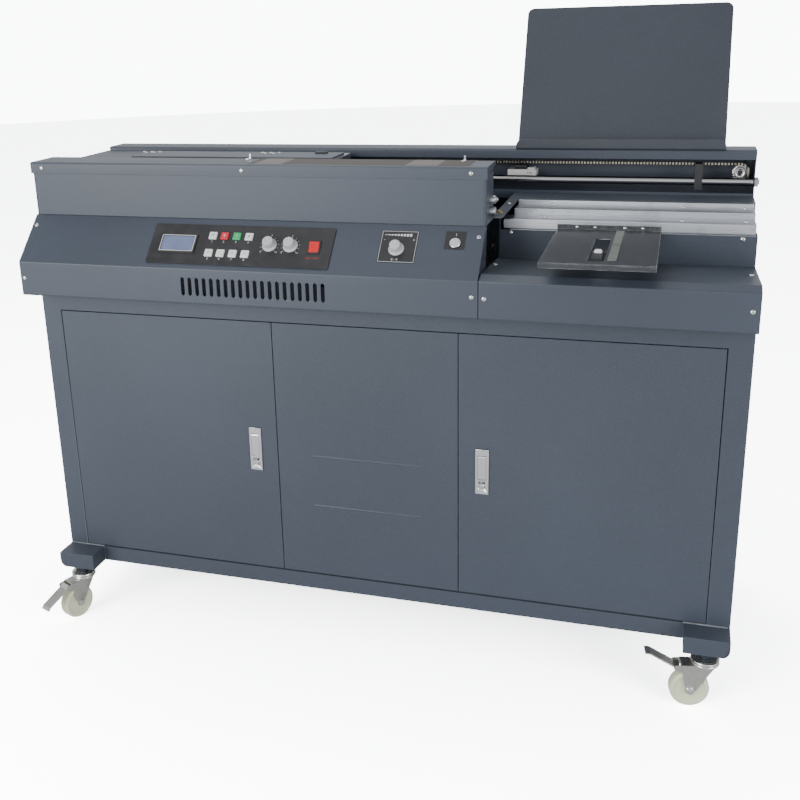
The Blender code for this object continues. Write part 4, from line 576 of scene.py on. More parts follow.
forwards = (0, -1, 0)
upwards = (0, 0, 1)
to_the_right = (1, 0, 0)
fascia_y = slope_foot.y
slope_out = slope.to_3x3() @ Vector(upwards)
driven("slope_screws", [slope @ Vector((-0.710, 0.091, 0)), slope @ Vector((0.229, 0.095, 0))], slope_out,
       "frame")
driven("fascia_screws", [(-0.711, fascia_y, 0.800), (0.228, fascia_y, 0.804)], forwards, "frame")


# Control overlay: a satin black plate with a display, printed marks round the controls, and a frame
# for the main switch. Words on it are left out, and plain numbers and signs stand in their places.
def moulded_group():
    group, given, result = new_group("moulded_plastic", (
        ("Colour", "Color", (0.02, 0.02, 0.022, 1)), ("Worn", "Color", (0.06, 0.06, 0.065, 1)),
        ("Grain", "Float", 900.0), ("Relief", "Float", 0.08), ("Low", "Float", 0.35), ("High", "Float", 0.5),
    ), finish_outputs)
    place = own_place(group)
    fine = noise(group, place, given.outputs["Grain"], 2.0)
    broad = noise(group, place, 35.0, 5.0)
    handled = product(group, ramp(group, broad, 0.45, 0.75), 0.3)
    colour = mix(group, handled, given.outputs["Colour"], given.outputs["Worn"])
    colour = mix(group, product(group, edge_mask(group, 0.0005), 0.5), colour, given.outputs["Worn"])
    gloss = gloss_between(group, given, broad)
    return give(group, result, colour, gloss, bumps(group, fine, given.outputs["Relief"]))


moulded = moulded_group()


def plastic(name, colour, worn, **values):
    return coloured(name, moulded, "Worn", (colour, worn), values, 0.0)


overlay_black = finish_material("overlay_black", moulded, {"Grain": 500.0, "Low": 0.30, "High": 0.42})
dressed("control_panel", overlay_black, 0.0003, 2, 0.01)
print_white = plastic("printed_white", (0.72, 0.72, 0.72), (0.55, 0.55, 0.55), Relief=0.02)
print_red = plastic("printed_red", (0.42, 0.02, 0.02), (0.25, 0.02, 0.02), Relief=0.02)
overlay_top = 0.0023
print_height = 0.0002


def on_slope(piece, body, look, smooth=35):
    """Moves a piece that was made in the slope's frame to its place, and ends it."""
    take(piece)
    apply_modifiers(piece)
    fix_place()
    piece.data.transform(slope)
    return settle(piece, body, look, smooth)


def mark(centre, size, turn=0.0, base=overlay_top):
    """A thin printed bar, in the slope's frame."""
    bpy.ops.mesh.primitive_cube_add(
        size=1, location=(*centre, base + print_height / 2), rotation=(0, 0, turn)
    )
    made = bpy.context.object
    made.scale = (*size, print_height)
    fix_place()
    return made


def figure(words, centre, height, base=overlay_top, turn=0.0):
    """Printed figures or a sign, in the slope's frame."""
    bpy.ops.object.text_add(location=(*centre, base), rotation=(0, 0, turn))
    made = bpy.context.object
    made.data.body = words
    made.data.size = height
    made.data.align_x = "CENTER"
    made.data.align_y = "CENTER"
    made.data.extrude = print_height / 2
    bpy.ops.object.convert(target="MESH")
    fix_place()
    return bpy.context.object


def frame_marks(low, high, line, base=overlay_top):
    """A printed rectangle's four sides."""
    middle_x, middle_y = (low[0] + high[0]) / 2, (low[1] + high[1]) / 2
    across, along = high[0] - low[0], high[1] - low[1]
    return [
        mark((middle_x, low[1]), (across, line), base=base), mark((middle_x, high[1]), (across, line), base=base),
        mark((low[0], middle_y), (line, along), base=base), mark((high[0], middle_y), (line, along), base=base),
    ]


display_low = (-0.4115, 0.0345)
display_high = (-0.3315, 0.079)
display_border = 0.005
glass_low = [value + display_border for value in display_low]
glass_high = [value - display_border for value in display_high]


def display_material():
    """A grey-blue liquid crystal behind clear plastic, its dots just to be seen."""
    made, tree, shader = new_material("display_glass")
    place = own_place(tree)
    dots = node(tree, "TexBrick", {
        "Vector": place, "Color1": (0.135, 0.170, 0.300, 1), "Color2": (0.150, 0.190, 0.325, 1),
        "Mortar": (0.10, 0.12, 0.22, 1), "Scale": 260.0, "Mortar Size": 0.03, "Brick Width": 0.25,
        "Row Height": 0.25,
    }, offset=0.0).outputs["Color"]
    uneven = noise(tree, place, 30.0, 2.0)
    colour = mix(tree, ramp(tree, uneven, 0.3, 0.7), dots, (0.165, 0.20, 0.34, 1))
    tree.links.new(colour, shader.inputs["Base Color"])
    shader.inputs["Roughness"].default_value = 0.25
    shader.inputs["Coat Weight"].default_value = 1.0
    return made


glass = blank("display_glass", (*glass_low, overlay_top - 0.0002), (*glass_high, overlay_top + 0.0008), 0.0002)
on_slope(glass, "frame", display_material())
bezel_top = overlay_top + 0.0025
rim = merged("display_rim", frame_marks(
    [value - 0.0008 for value in glass_low], [value + 0.0008 for value in glass_high], 0.0011, bezel_top
))
on_slope(rim, "frame", print_white)

key_columns = (-0.2995, -0.2745, -0.2485, -0.2225)
key_rows = (0.077, 0.037)
number_drop = 0.0128
marks = []
for row, across in enumerate(key_rows):
    for column, along in enumerate(key_columns):
        marks.append(figure(str(row * 4 + column + 1), (along, across - number_drop), 0.0062))
knob_places = {"pressure_knob": (-0.176, 0.060), "timer_knob": (-0.133, 0.060)}
dial_radius = 0.0172
tick_length = 0.0022
tick_count = 11
dial_sweep = math.radians(270)
for centre in knob_places.values():
    for i in range(tick_count):
        turn = math.pi / 2 + dial_sweep / 2 - i * dial_sweep / (tick_count - 1)
        spot = Vector(centre) + Vector((math.cos(turn), math.sin(turn))) * (dial_radius + tick_length / 2)
        marks.append(mark(spot, (tick_length, 0.0006), turn))
        if i % 5 == 0:
            spot = Vector(centre) + Vector((math.cos(turn), math.sin(turn))) * (dial_radius + 0.0052)
            marks.append(figure(str(i), spot, 0.0046))
on_slope(merged("overlay_marks", marks), "frame", print_white)
switch_place = (-0.084, 0.058)
switch_words = merged("switch_marks", [figure("ON / OFF", (switch_place[0], switch_place[1] - 0.0245), 0.0066)])
on_slope(switch_words, "frame", print_red)


# Eight keys: square caps with soft edges, white but for the red stop and the green start key. Each
# has a plain sign on it.
def cap_plastic(name, colour, worn):
    return plastic(name, colour, worn, Low=0.25, High=0.38, Relief=0.03)


key_white = cap_plastic("white_key_plastic", (0.78, 0.78, 0.78), (0.62, 0.62, 0.60))
key_red = cap_plastic("red_key_plastic", (0.60, 0.03, 0.05), (0.42, 0.03, 0.04))
key_green = cap_plastic("green_key_plastic", (0.03, 0.42, 0.14), (0.03, 0.30, 0.10))
sign_black = finish_material("sign_black", moulded, {"Colour": (0.03, 0.03, 0.03, 1)})
key_size = 0.0165
key_top = overlay_top + 0.003
plain_signs = ("M", "0", "1", "A", "+", "-", "<", ">")
for number, sign in enumerate(plain_signs):
    name = f"key_{number + 1}"
    centre = (key_columns[number % 4], key_rows[number // 4])
    half = key_size / 2
    look = {1: key_red, 2: key_green}.get(number, key_white)
    key = blank(name + "_cap", (centre[0] - half, centre[1] - half, key_top - 0.009),
                (centre[0] + half, centre[1] + half, key_top), 0.0016, 4)
    on_slope(key, name, look)
    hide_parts(name)
    face = figure(sign, centre, 0.0085, key_top)
    on_slope(face, name, sign_black if number not in (1, 2) else print_white)


# Control knobs: grey moulded knobs with a round skirt, a fluted cap and a pointer line.
knob_grey = plastic(
    "grey_knob_plastic", (0.46, 0.48, 0.49), (0.60, 0.62, 0.63), Relief=0.1, Low=0.35, High=0.5,
)
skirt_radius = 0.015
cap_radius = 0.0105
cap_height = 0.017
flute_count = 18


def knob(name, centre, base):
    """A fluted knob with a skirt, and its pointer line as a piece of its own."""
    body = turned(name + "_body", [
        (0, cap_height), (cap_radius - 0.0016, cap_height), (cap_radius - 0.0005, cap_height - 0.0005),
        (cap_radius, cap_height - 0.0016), (cap_radius + 0.0008, 0.0042), (cap_radius + 0.0022, 0.0032),
        (skirt_radius - 0.0008, 0.0020), (skirt_radius, 0.0012), (skirt_radius, 0.0003), (0, 0.0003),
    ], 64)
    for i in range(flute_count):
        turn = 2 * math.pi * (i + 0.5) / flute_count
        place = Vector((math.cos(turn), math.sin(turn), 0)) * (cap_radius + 0.0011)
        bpy.ops.mesh.primitive_cylinder_add(vertices=10, radius=0.0012, depth=cap_height, location=place)
        groove = bpy.context.object
        groove.location.z = 0.0045 + cap_height / 2
        combine(body, groove, "DIFFERENCE")
    body.data.transform(Matrix.Translation((*centre, base)))
    on_slope(body, name, knob_grey)
    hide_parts(name)
    line = blank(name + "_line", (-0.0007, 0.0015, cap_height - 0.0002),
                 (0.0007, cap_radius - 0.0012, cap_height + 0.0003), 0.0001)
    line.data.transform(Matrix.Translation(line.location))
    line.location = (*centre, base)
    on_slope(line, name, print_white)


for knob_name, centre in knob_places.items():
    knob(knob_name, centre, overlay_top)
side_knob_place = (0.077, 0.063)
knob("speed_knob", side_knob_place, 0)


# Main switch: a red translucent rocker with its I and O signs, in the frame of the overlay.
switch_red = finish_material("red_switch_plastic", moulded, {
    "Colour": (0.62, 0.02, 0.02, 1), "Worn": (0.75, 0.08, 0.06, 1), "Relief": 0.02, "Low": 0.15, "High": 0.25,
}, Coat_Weight=0.4)
dressed("rocker_switch", switch_red, 0.0007, 3, 0.003)

# Plates under the speed knob and the start button: black printed plates with a white line. Their words
# are left out, and a growing wedge shows which way the knob turns the speed up.
plate_black = finish_material("printed_plate_black", moulded, {"Low": 0.3, "High": 0.45, "Relief": 0.03})
speed_low, speed_high = (0.044, 0.0325), (0.1155, 0.103)
start_low, start_high = (0.167, 0.066), (0.2055, 0.1055)
plate_thickness = 0.0006
plate_corner = 0.003
knob_hole_radius = 0.0034
start_place = (0.187, 0.079)
start_hole_radius = 0.0112


def drilled_plate(name, low, high, centre, radius):
    """A thin plate with rounded corners and one hole, in the slope's frame."""
    made = blank(name, (*low, 0.0001), (*high, plate_thickness), 0)
    bpy.ops.object.mode_set(mode="EDIT")
    bpy.ops.mesh.select_all(action="DESELECT")
    shape = bmesh.from_edit_mesh(made.data)
    for edge in shape.edges:
        edge.select = abs((edge.verts[0].co - edge.verts[1].co).z) > plate_thickness / 4
    bmesh.update_edit_mesh(made.data)
    bpy.ops.mesh.bevel(offset=plate_corner, segments=5)
    bpy.ops.object.mode_set(mode="OBJECT")
    fix_place()
    bpy.ops.mesh.primitive_cylinder_add(vertices=40, radius=radius, depth=0.01, location=(*centre, 0))
    return combine(made, bpy.context.object, "DIFFERENCE")


speed_plate = drilled_plate("speed_plate", speed_low, speed_high, side_knob_place, knob_hole_radius)
on_slope(speed_plate, "frame", plate_black)
start_plate = drilled_plate("start_plate", start_low, start_high, start_place, start_hole_radius)
on_slope(start_plate, "frame", plate_black)
line_inset = 0.0016
line_width = 0.0006
speed_marks = frame_marks(
    [value + line_inset for value in speed_low], [value - line_inset for value in speed_high], line_width,
    plate_thickness
)
wedge_steps = 9
for i in range(wedge_steps):
    spot = (side_knob_place[0] - 0.024 + i * 0.006, speed_high[1] - 0.0095)
    speed_marks.append(mark(spot, (0.0042, 0.0012 + i * 0.0006), base=plate_thickness))
speed_marks.append(figure("-", (speed_low[0] + 0.0075, speed_high[1] - 0.020), 0.008, plate_thickness))
speed_marks.append(figure("+", (speed_high[0] - 0.0075, speed_high[1] - 0.020), 0.008, plate_thickness))
speed_marks.append(figure("0 - 9", (side_knob_place[0], speed_low[1] + 0.0065), 0.0066, plate_thickness))
speed_marks.append(figure("I", (start_place[0], start_high[1] - 0.0075), 0.0075, plate_thickness))
on_slope(merged("plate_marks", speed_marks), "frame", print_white)


# Start button: a satin steel push button with a raised ring round a dished cap.
button_radius = 0.0105
button = turned("start_button_cap", [
    (0, 0.0030), (0.0068, 0.0030), (0.0074, 0.0040), (0.0096, 0.0040), (button_radius, 0.0032),
    (button_radius, 0.0024), (0.008, 0.0024), (0.008, -0.018), (0, -0.018),
], 64)
button.data.transform(Matrix.Translation((*start_place, 0)))
on_slope(button, "start_button", plated)
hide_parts("start_button")

# Hood over the milling and glue stations: a front panel wrapped round the left end, and a top cover
# with a closed deck at the left. Both are screwed, and neither opens.
dressed("hood_front_panel", charcoal, 0.0005)
dressed("hood_top_cover", charcoal, 0.0005)
hood_front_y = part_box("hood_top_cover")[0].y
hood_screw_height = 1.0160
driven("hood_screws", [(x, hood_front_y, hood_screw_height) for x in (-0.6955, -0.2445, 0.2110)], forwards, "frame")

# Hood end bushes: a stepped chrome bush and a plain aluminium one that come through the hood's right end,
# with a small bent brass pipe below them.
# Milled aluminium takes painted shade on its tops through the top shade value, so its tops are drawn darker than
# its faces.
milled = metal(
    "milled_aluminium", (0.80, 0.82, 0.85), (0.30, 0.31, 0.34), Grain=(1.0, 60.0, 60.0), Scale=9.0, Low=0.24,
    High=0.42, Stain=0.40, Dark_Top=0.62,
)
hood_end = Vector((0.2398, -0.115, 0))
upper_bush = turned("upper_bush", [
    (0, 0.0150), (0.0026, 0.0150), (0.0030, 0.0146), (0.0030, 0.0112), (0.0058, 0.0112), (0.0064, 0.0106),
    (0.0064, 0.0098), (0.0076, 0.0098), (0.0080, 0.0092), (0.0080, 0), (0, 0),
])
settle(lay(upper_bush, hood_end + Vector((0, 0, 0.962)), to_the_right), "frame", plated)
lower_bush = turned("lower_bush", [
    (0.0030, 0.0060), (0.0034, 0.0102), (0.0074, 0.0102), (0.0080, 0.0096), (0.0080, 0), (0.0030, 0),
    (0.0030, 0.0060),
])
settle(lay(lower_bush, hood_end + Vector((0, 0, 0.940)), to_the_right), "frame", milled)
brass = metal(
    "brass", (0.72, 0.50, 0.16), (0.36, 0.22, 0.07), Grain=(1.0, 1.0, 1.0), Scale=120.0, Low=0.2, High=0.4,
    Stain=0.5,
)
pipe_radius = 0.0017


def bent_pipe(name, points, radius):
    """A round pipe or wire along some points, with its ends closed."""
    path = bpy.data.curves.new(name, "CURVE")
    path.dimensions = "3D"
    run = path.splines.new("BEZIER")
    run.bezier_points.add(len(points) - 1)
    for knot, place in zip(run.bezier_points, points):
        knot.co = place
        knot.handle_left_type = knot.handle_right_type = "AUTO"
    path.bevel_depth = radius
    path.bevel_resolution = 4
    path.use_fill_caps = True
    added(name, path)
    bpy.ops.object.convert(target="MESH")
    return bpy.context.object


pipe = bent_pipe("brass_pipe", [
    (0.2397, -0.0900, 0.9330), (0.2450, -0.0900, 0.9335), (0.2500, -0.0912, 0.9362), (0.2550, -0.0922, 0.9350),
    (0.2585, -0.0925, 0.9322),
], pipe_radius)
collar = turned("brass_collar", [(0, 0.0034), (0.0032, 0.0034), (0.0037, 0.0029), (0.0037, 0), (0, 0)], 6)
lay(collar, Vector((0.2398, -0.0900, 0.9330)), to_the_right)
settle(merged("brass_pipe", [pipe, collar]), "frame", brass)

# Slot tape: worn brown paper stuck over the hood's narrow top beside the slot, with paler patches where
# it was mended, and two small plated page stops that stand up at its ends.
def tape_material():
    """Brown worn paper with paler patches across it, and its fibres."""
    made, tree, shader = new_material("slot_tape")
    place = own_place(tree)
    along = node(tree, "VectorMath", {0: place, 1: (1.0, 0.02, 0.0)}, operation="MULTIPLY").outputs["Vector"]
    patch = noise(tree, along, 13.0, 0.0)
    fibre = noise(tree, place, 700.0, 3.0)
    colour = mix(tree, ramp(tree, patch, 0.56, 0.565), (0.105, 0.093, 0.080, 1), (0.24, 0.225, 0.205, 1))
    colour = mix(tree, ramp(tree, fibre, 0.45, 0.8), colour, (0.07, 0.062, 0.055, 1))
    tree.links.new(colour, shader.inputs["Base Color"])
    tree.links.new(bumps(tree, fibre, 0.3), shader.inputs["Normal"])
    shader.inputs["Roughness"].default_value = 0.7
    return made


hood_top = 1.0280
slot_edge = -0.0668
tape = blank("slot_tape", (-0.236, -0.1440, hood_top - 0.0001), (0.205, slot_edge, hood_top + 0.0004), 0.0002)
settle(tape, "frame", tape_material())
stops = []
for x in (-0.262, 0.182):
    foot = blank("page_stop", (x - 0.0035, slot_edge - 0.0172, hood_top - 0.0002),
                 (x + 0.0035, slot_edge, hood_top + 0.0012), 0.0003)
    upright = blank("page_stop", (x - 0.0018, slot_edge - 0.0012, hood_top + 0.0005),
                    (x + 0.0018, slot_edge, hood_top + 0.0090), 0.0003)
    stops += [foot, upright]
settle(merged("page_stops", stops), "frame", plated)

# Delivery cover and riser: the low shelf under the cover table and the wall behind it.
dressed("delivery_cover", charcoal, 0.0006)
dressed("riser_panel", charcoal, 0.0005)
driven("delivery_front_screws", [(0.2510, fascia_y, 0.802), (0.7070, fascia_y, 0.802)], forwards, "frame")
driven("delivery_top_screws", [(0.2505, -0.113, 0.8368), (0.7080, -0.122, 0.8374)], (0, 0.07, 1), "frame")
riser_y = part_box("riser_panel")[0].y
driven("riser_screws", [(x, riser_y, 0.8835) for x in (0.2665, 0.6940)], forwards, "frame")
driven("bridge_screw", [(0.2535, 0.030, 0.9300)], upwards, "frame", 0.0035)

# Back box: the channel along the back, open to the front, with folded lips.
dressed("back_box", charcoal, 0.0006)
inner_black = finish_material("black_plastic_finish", moulded, {"Low": 0.4, "High": 0.55})

# Limit switch: a dull zinc bracket screwed to the channel's back wall, between the two runs of the chain,
# with the switch's dark cover and lever on it and two screw holes in its face.
bracket_low, bracket_high = Vector((0.222, 0.2010, 0.9600)), Vector((0.283, 0.2359, 0.9735))
bracket = blank("limit_bracket", bracket_low, bracket_high, 0.0006, 3)
for x in (0.2655, 0.2715):
    bpy.ops.mesh.primitive_cylinder_add(
        vertices=20, radius=0.0016, depth=0.02, location=(x, bracket_low.y, 0.9665), rotation=(math.pi / 2, 0, 0)
    )
    combine(bracket, bpy.context.object, "DIFFERENCE")
dull_zinc = metal(
    "dull_zinc", (0.74, 0.74, 0.72), (0.50, 0.50, 0.48), Grain=(1.0, 1.0, 1.0), Scale=120.0, Low=0.45,
    High=0.6, Metallic=0.25,
)
settle(bracket, "frame", dull_zinc)
cover = blank("limit_switch_cover", (0.2350, 0.2060, 0.9733), (0.2620, 0.2300, 0.9838), 0.0045, 5)
settle(cover, "frame", inner_black)
edge_strip = blank("limit_switch_lever", (0.2640, 0.2045, 0.9733), (0.2790, 0.2310, 0.9775), 0.0008)
settle(edge_strip, "frame", dull_zinc)

# Guide rod: ground and polished steel with a hexagon nut at each end, and the black stop clamped on it.
ground = metal(
    "ground_steel_finish", (0.66, 0.65, 0.64), (0.42, 0.40, 0.38), Grain=(60.0, 1.0, 1.0), Scale=25.0,
    Low=0.10, High=0.20, Relief=0.05, Stain=0.15,
)
rod_radius = 0.008
rod_axis = Vector((0, 0.185, 0.956))
rod_half = 0.7177
stud_radius = 0.005
nut_radius = 0.0095
rod = turned("guide_rod_bar", [
    (0, rod_half), (rod_radius - 0.0006, rod_half), (rod_radius, rod_half - 0.0006),
    (rod_radius, 0.0006 - rod_half), (rod_radius - 0.0006, -rod_half), (0, -rod_half),
], 64)
lay(rod, rod_axis, to_the_right)
settle(rod, "frame", ground)
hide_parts("guide_rod")


def hexagon(name, radius, height, bore):
    """A hexagon nut or bolt head with a turned chamfer, and a stud end of the given bore radius standing out of it.
    """
    bpy.ops.mesh.primitive_cylinder_add(vertices=6, radius=radius, depth=height, location=(0, 0, height / 2))
    made = bpy.context.object
    made.name = name
    fix_place()
    cone = turned("chamfer", [
        (0, height * 1.001), (radius * 0.90, height * 1.001), (radius * 1.02, height * 0.82),
        (radius * 1.02, -height * 0.001), (0, -height * 0.001),
    ], 48)
    combine(made, cone, "INTERSECT")
    stud = turned("stud", [
        (0, height * 1.35), (bore - 0.0006, height * 1.35), (bore, height * 1.25), (bore, height * 0.5),
        (0, height * 0.5),
    ], 32)
    return combine(made, stud, "UNION")


for side, word in ((-1, "left"), (1, "right")):
    nut = hexagon(word + "_rod_nut", nut_radius, 0.0065, stud_radius)
    lay(nut, Vector((side * (half_width + 0.0003), rod_axis.y, rod_axis.z)), (side, 0, 0))
    settle(nut, "frame", plated)
dressed("rod_stop", inner_black, 0.0006, 3, 0.004)

# Roller chain: each link has two waisted side plates and a roller, and inner and outer links take turns. It is
# oiled steel, and dark bands once a pitch paint shade between the rollers.
chain_steel = metal(
    "oiled_chain_steel", (0.62, 0.58, 0.50), (0.16, 0.14, 0.11), Grain=(1.0, 1.0, 1.0), Scale=160.0,
    Low=0.22, High=0.42, Stain=0.9,
)
chain_pitch = 0.00635
teeth = 16
sprocket_radius = chain_pitch / (2 * math.sin(math.pi / teeth))
sprocket_x = 0.692
sprocket_z = 0.9725
chain_y = 0.208
links_per_run = 213
drive_x = sprocket_x - links_per_run * chain_pitch


def chain_pins():
    """The pin places all round the chain, clockwise from the drive sprocket's top."""
    pins = [(drive_x + i * chain_pitch, sprocket_z + sprocket_radius) for i in range(links_per_run)]
    for i in range(teeth // 2):
        turn = math.pi / 2 - i * 2 * math.pi / teeth
        pins.append((sprocket_x + sprocket_radius * math.cos(turn), sprocket_z + sprocket_radius * math.sin(turn)))
    pins += [(sprocket_x - i * chain_pitch, sprocket_z - sprocket_radius) for i in range(links_per_run)]
    for i in range(teeth // 2):
        turn = -math.pi / 2 - i * 2 * math.pi / teeth
        pins.append((drive_x + sprocket_radius * math.cos(turn), sprocket_z + sprocket_radius * math.sin(turn)))
    return pins


def link_shape():
    """Points, faces of one link along +X: two waisted plates and the roller at its start."""
    points, faces = [], []
    end, waist = 0.0029, 0.0019
    outline = []
    for centre, start in ((chain_pitch, -90), (0, 90)):
        for i in range(4):
            turn = math.radians(start + i * 60)
            outline.append((centre + end * math.cos(turn), end * math.sin(turn)))
        outline.append((chain_pitch / 2, waist if start < 0 else -waist))
    for near, far in ((-0.0031, -0.0022), (0.0022, 0.0031)):
        base = len(points)
        count = len(outline)
        points += [(x, near, z) for x, z in outline] + [(x, far, z) for x, z in outline]
        faces.append(tuple(base + i for i in range(count)))
        faces.append(tuple(base + count + i for i in reversed(range(count))))
        for i in range(count):
            following = (i + 1) % count
            faces.append((base + i, base + count + i, base + count + following, base + following))
    base = len(points)
    sides = 8
    for near in (-0.0022, 0.0022):
        for i in range(sides):
            turn = 2 * math.pi * i / sides
            points.append((0.0020 * math.cos(turn), near, 0.0020 * math.sin(turn)))
    for i in range(sides):
        following = (i + 1) % sides
        faces.append((base + i, base + sides + i, base + sides + following, base + following))
    return points, faces


def chain_mesh():
    pins = chain_pins()
    shape, plates = link_shape()
    points, faces = [], []
    for i, (x, z) in enumerate(pins):
        next_x, next_z = pins[(i + 1) % len(pins)]
        turn = math.atan2(next_z - z, next_x - x)
        squeeze = 0.72 if i % 2 else 1.0
        base = len(points)
        for along, across, up in shape:
            points.append((
                x + along * math.cos(turn) - up * math.sin(turn), chain_y + across * squeeze,
                z + along * math.sin(turn) + up * math.cos(turn),
            ))
        faces += [tuple(base + index for index in face) for face in plates]
    mesh = bpy.data.meshes.new("roller_chain")
    mesh.from_pydata(points, [], faces)
    return mesh


chain = added("roller_chain", chain_mesh())
# Dark bands, one a pitch along the chain, are painted shade between the rollers.
tree = chain_steel.node_tree
links = node(tree, "TexWave", {
    "Vector": own_place(tree), "Scale": 2 * math.pi / (20 * chain_pitch),
}, wave_type="BANDS", bands_direction="X").outputs["Fac"]
bare_steel = next(link.from_socket for link in tree.links if link.to_socket.name == "Base Color")
tree.links.new(
    mix(tree, ramp(tree, links, 0.25, 0.6), (0.035, 0.030, 0.024, 1), bare_steel),
    tree.nodes["Principled BSDF"].inputs["Base Color"],
)
settle(chain, "frame", chain_steel, 50)
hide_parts("drive_chain")

# Sprockets and drive motor: the right sprocket runs on a pin with a washer and a nut, which show in
# the channel's mouth, and the left one is on the gear motor under the closed deck.
sprocket_steel = metal(
    "sprocket_steel", (0.60, 0.59, 0.57), (0.30, 0.28, 0.26), Grain=(1.0, 30.0, 1.0), Scale=60.0, Low=0.2,
    High=0.35,
)
for name in ("drive_sprocket", "idler_sprocket"):
    dressed(name, sprocket_steel, 0)
bearing = turned("idler_bearing_ring", [
    (0.0064, 0.0006), (0.0066, 0.0022), (0.0078, 0.0030), (0.0102, 0.0030), (0.0116, 0.0020), (0.0118, 0),
    (0.0064, 0), (0.0064, 0.0006),
], 64)
lay(bearing, Vector((sprocket_x, chain_y - 0.0062, sprocket_z)), (0, -1, 0))
settle(bearing, "idler_sprocket", plated)
idler_bolt = hexagon("idler_bolt", 0.0052, 0.0030, 0.0028)
lay(idler_bolt, Vector((sprocket_x, chain_y - 0.0062, sprocket_z)), (0, -1, 0))
settle(idler_bolt, "frame", inner_black)
motor_paint = finish_material("motor_black_paint", powder_coat, {
    "Colour": (0.02, 0.02, 0.022, 1), "Rubbed And Highlight": (0.09, 0.09, 0.10, 1), "Dust": (0.16, 0.16, 0.16, 1),
})
dressed("drive_motor", motor_paint, 0.0008)

# Nipping station: the front bar slides, and the rear one is a stepped bar on its base. Both are milled aluminium
# with streaks along their length, and their tops are drawn darker than their faces as painted shade.
dressed("front_platen", milled, 0.0009, 3)
dressed("rear_platen", milled, 0.0007)
bar_screw_radius = 0.0040
front_bar_top, rear_bar_top = 0.9100, 0.9220
front_bar_places = ((0.3300, -0.0075), (0.5855, -0.0075), (0.7005, -0.0050))
rear_bar_places = ((0.3330, 0.0720), (0.5860, 0.0735), (0.6995, 0.0690))
driven("front_bar_screws", [(x, y, front_bar_top) for x, y in front_bar_places],
       upwards, "front_platen", bar_screw_radius)
driven("rear_bar_screws", [(x, y, rear_bar_top) for x, y in rear_bar_places],
       upwards, "frame", bar_screw_radius)

# Cover table: a near-black folded tray on the front bar, with a plain grey gauge strip and the white
# press roller in its bracket.
# The table's bright second colour lightens its edges partly as rubbed wear and partly as a painted highlight, and
# lightens its grains as painted glints.
table_black = finish_material("table_black_coat", powder_coat, {
    "Colour": (0.016, 0.020, 0.026, 1), "Rubbed And Highlight": (0.75, 0.76, 0.78, 1), "Dust": (0.08, 0.08, 0.08, 1),
})
dressed("cover_table", table_black, 0.0004)
strip_metal = metal(
    "gauge_strip_metal", (0.30, 0.31, 0.29), (0.16, 0.17, 0.16), Grain=(1.0, 1.0, 1.0), Scale=300.0, Low=0.4,
    High=0.6, Stain=0.8, Metallic=0.6,
)
dressed("table_strip", strip_metal, 0.0002)
table_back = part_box("cover_table")[1].y
driven("table_screws", [(x, table_back - 0.0018, 0.8975) for x in (0.3935, 0.4275, 0.4825, 0.5155)], forwards,
       "front_platen", 0.0030)
dressed("roller_bracket", motor_paint, 0.0003, 2, 0.004)
roller_middle, roller_size = span("press_roller")
roller_radius = roller_size.y / 2
roller = turned("press_roller_wheel", [
    (0.0029, roller_size.x / 2), (0.0055, roller_size.x / 2), (0.006, roller_size.x / 2 - 0.0008),
    (roller_radius - 0.0015, roller_size.x / 2 - 0.0008), (roller_radius, roller_size.x / 2 - 0.0022),
    (roller_radius, 0.0022 - roller_size.x / 2), (roller_radius - 0.0015, 0.0008 - roller_size.x / 2),
    (0.006, 0.0008 - roller_size.x / 2), (0.0055, -roller_size.x / 2), (0.0029, -roller_size.x / 2),
    (0.0029, roller_size.x / 2),
], 64)
lay(roller, roller_middle, to_the_right)
settle(roller, "press_roller", key_white)
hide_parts("press_roller")

# Cover rack: one sheet folded into a lip, a narrow ledge and a tall back that leans away from the table.
# Its four free corners are rounded before it is folded and painted.
rack_left, rack_right = 0.245, 0.661
rack_sheet = 0.002
rack_fold = 0.0035
rack_corner = 0.014
rack_path = ((0.1605, 1.0426), (0.1605, 1.0216), (0.192, 1.0216), (0.310, 1.302))
lip_middle = (rack_path[0][1] + rack_path[1][1]) / 2


def choose_edges(piece, wanted):
    """Selects the edges that the test wants, in edit mode, and no others."""
    bpy.ops.mesh.select_mode(type="EDGE")
    bpy.ops.mesh.select_all(action="DESELECT")
    shape = bmesh.from_edit_mesh(piece.data)
    for edge in shape.edges:
        if wanted(edge):
            edge.select_set(True)
    bmesh.update_edit_mesh(piece.data)


deselect_all()
bpy.ops.mesh.primitive_plane_add(
    size=1, location=((rack_left + rack_right) / 2, rack_path[0][0], lip_middle), rotation=(math.pi / 2, 0, 0)
)
rack = bpy.context.object
rack.name = "cover_rack_sheet"
rack.scale = (rack_right - rack_left, rack_path[0][1] - rack_path[1][1], 1)
fix_place()
bpy.ops.object.mode_set(mode="EDIT")
choose_edges(rack, lambda edge: max(end.co.z for end in edge.verts) < lip_middle)
for (near, low), (far, high) in zip(rack_path[1:], rack_path[2:]):
    bpy.ops.mesh.extrude_region_move(TRANSFORM_OT_translate={"value": (0, far - near, high - low)})
choose_edges(rack, lambda edge: len(edge.link_faces) == 2)
bpy.ops.mesh.bevel(offset=rack_fold, segments=5, affect="EDGES")
bpy.ops.mesh.select_mode(type="VERT")
bpy.ops.mesh.select_all(action="DESELECT")
shape = bmesh.from_edit_mesh(rack.data)
for point in shape.verts:
    at_lip = (point.co - Vector((point.co.x, *rack_path[0]))).length < rack_fold / 2
    if at_lip or point.co.z > rack_path[3][1] - rack_corner:
        point.select_set(True)
bmesh.update_edit_mesh(rack.data)
bpy.ops.mesh.bevel(offset=rack_corner, segments=8, affect="VERTICES")
bpy.ops.object.mode_set(mode="OBJECT")
wall = rack.modifiers.new("Wall", "SOLIDIFY")
wall.thickness = rack_sheet
wall.offset = -1
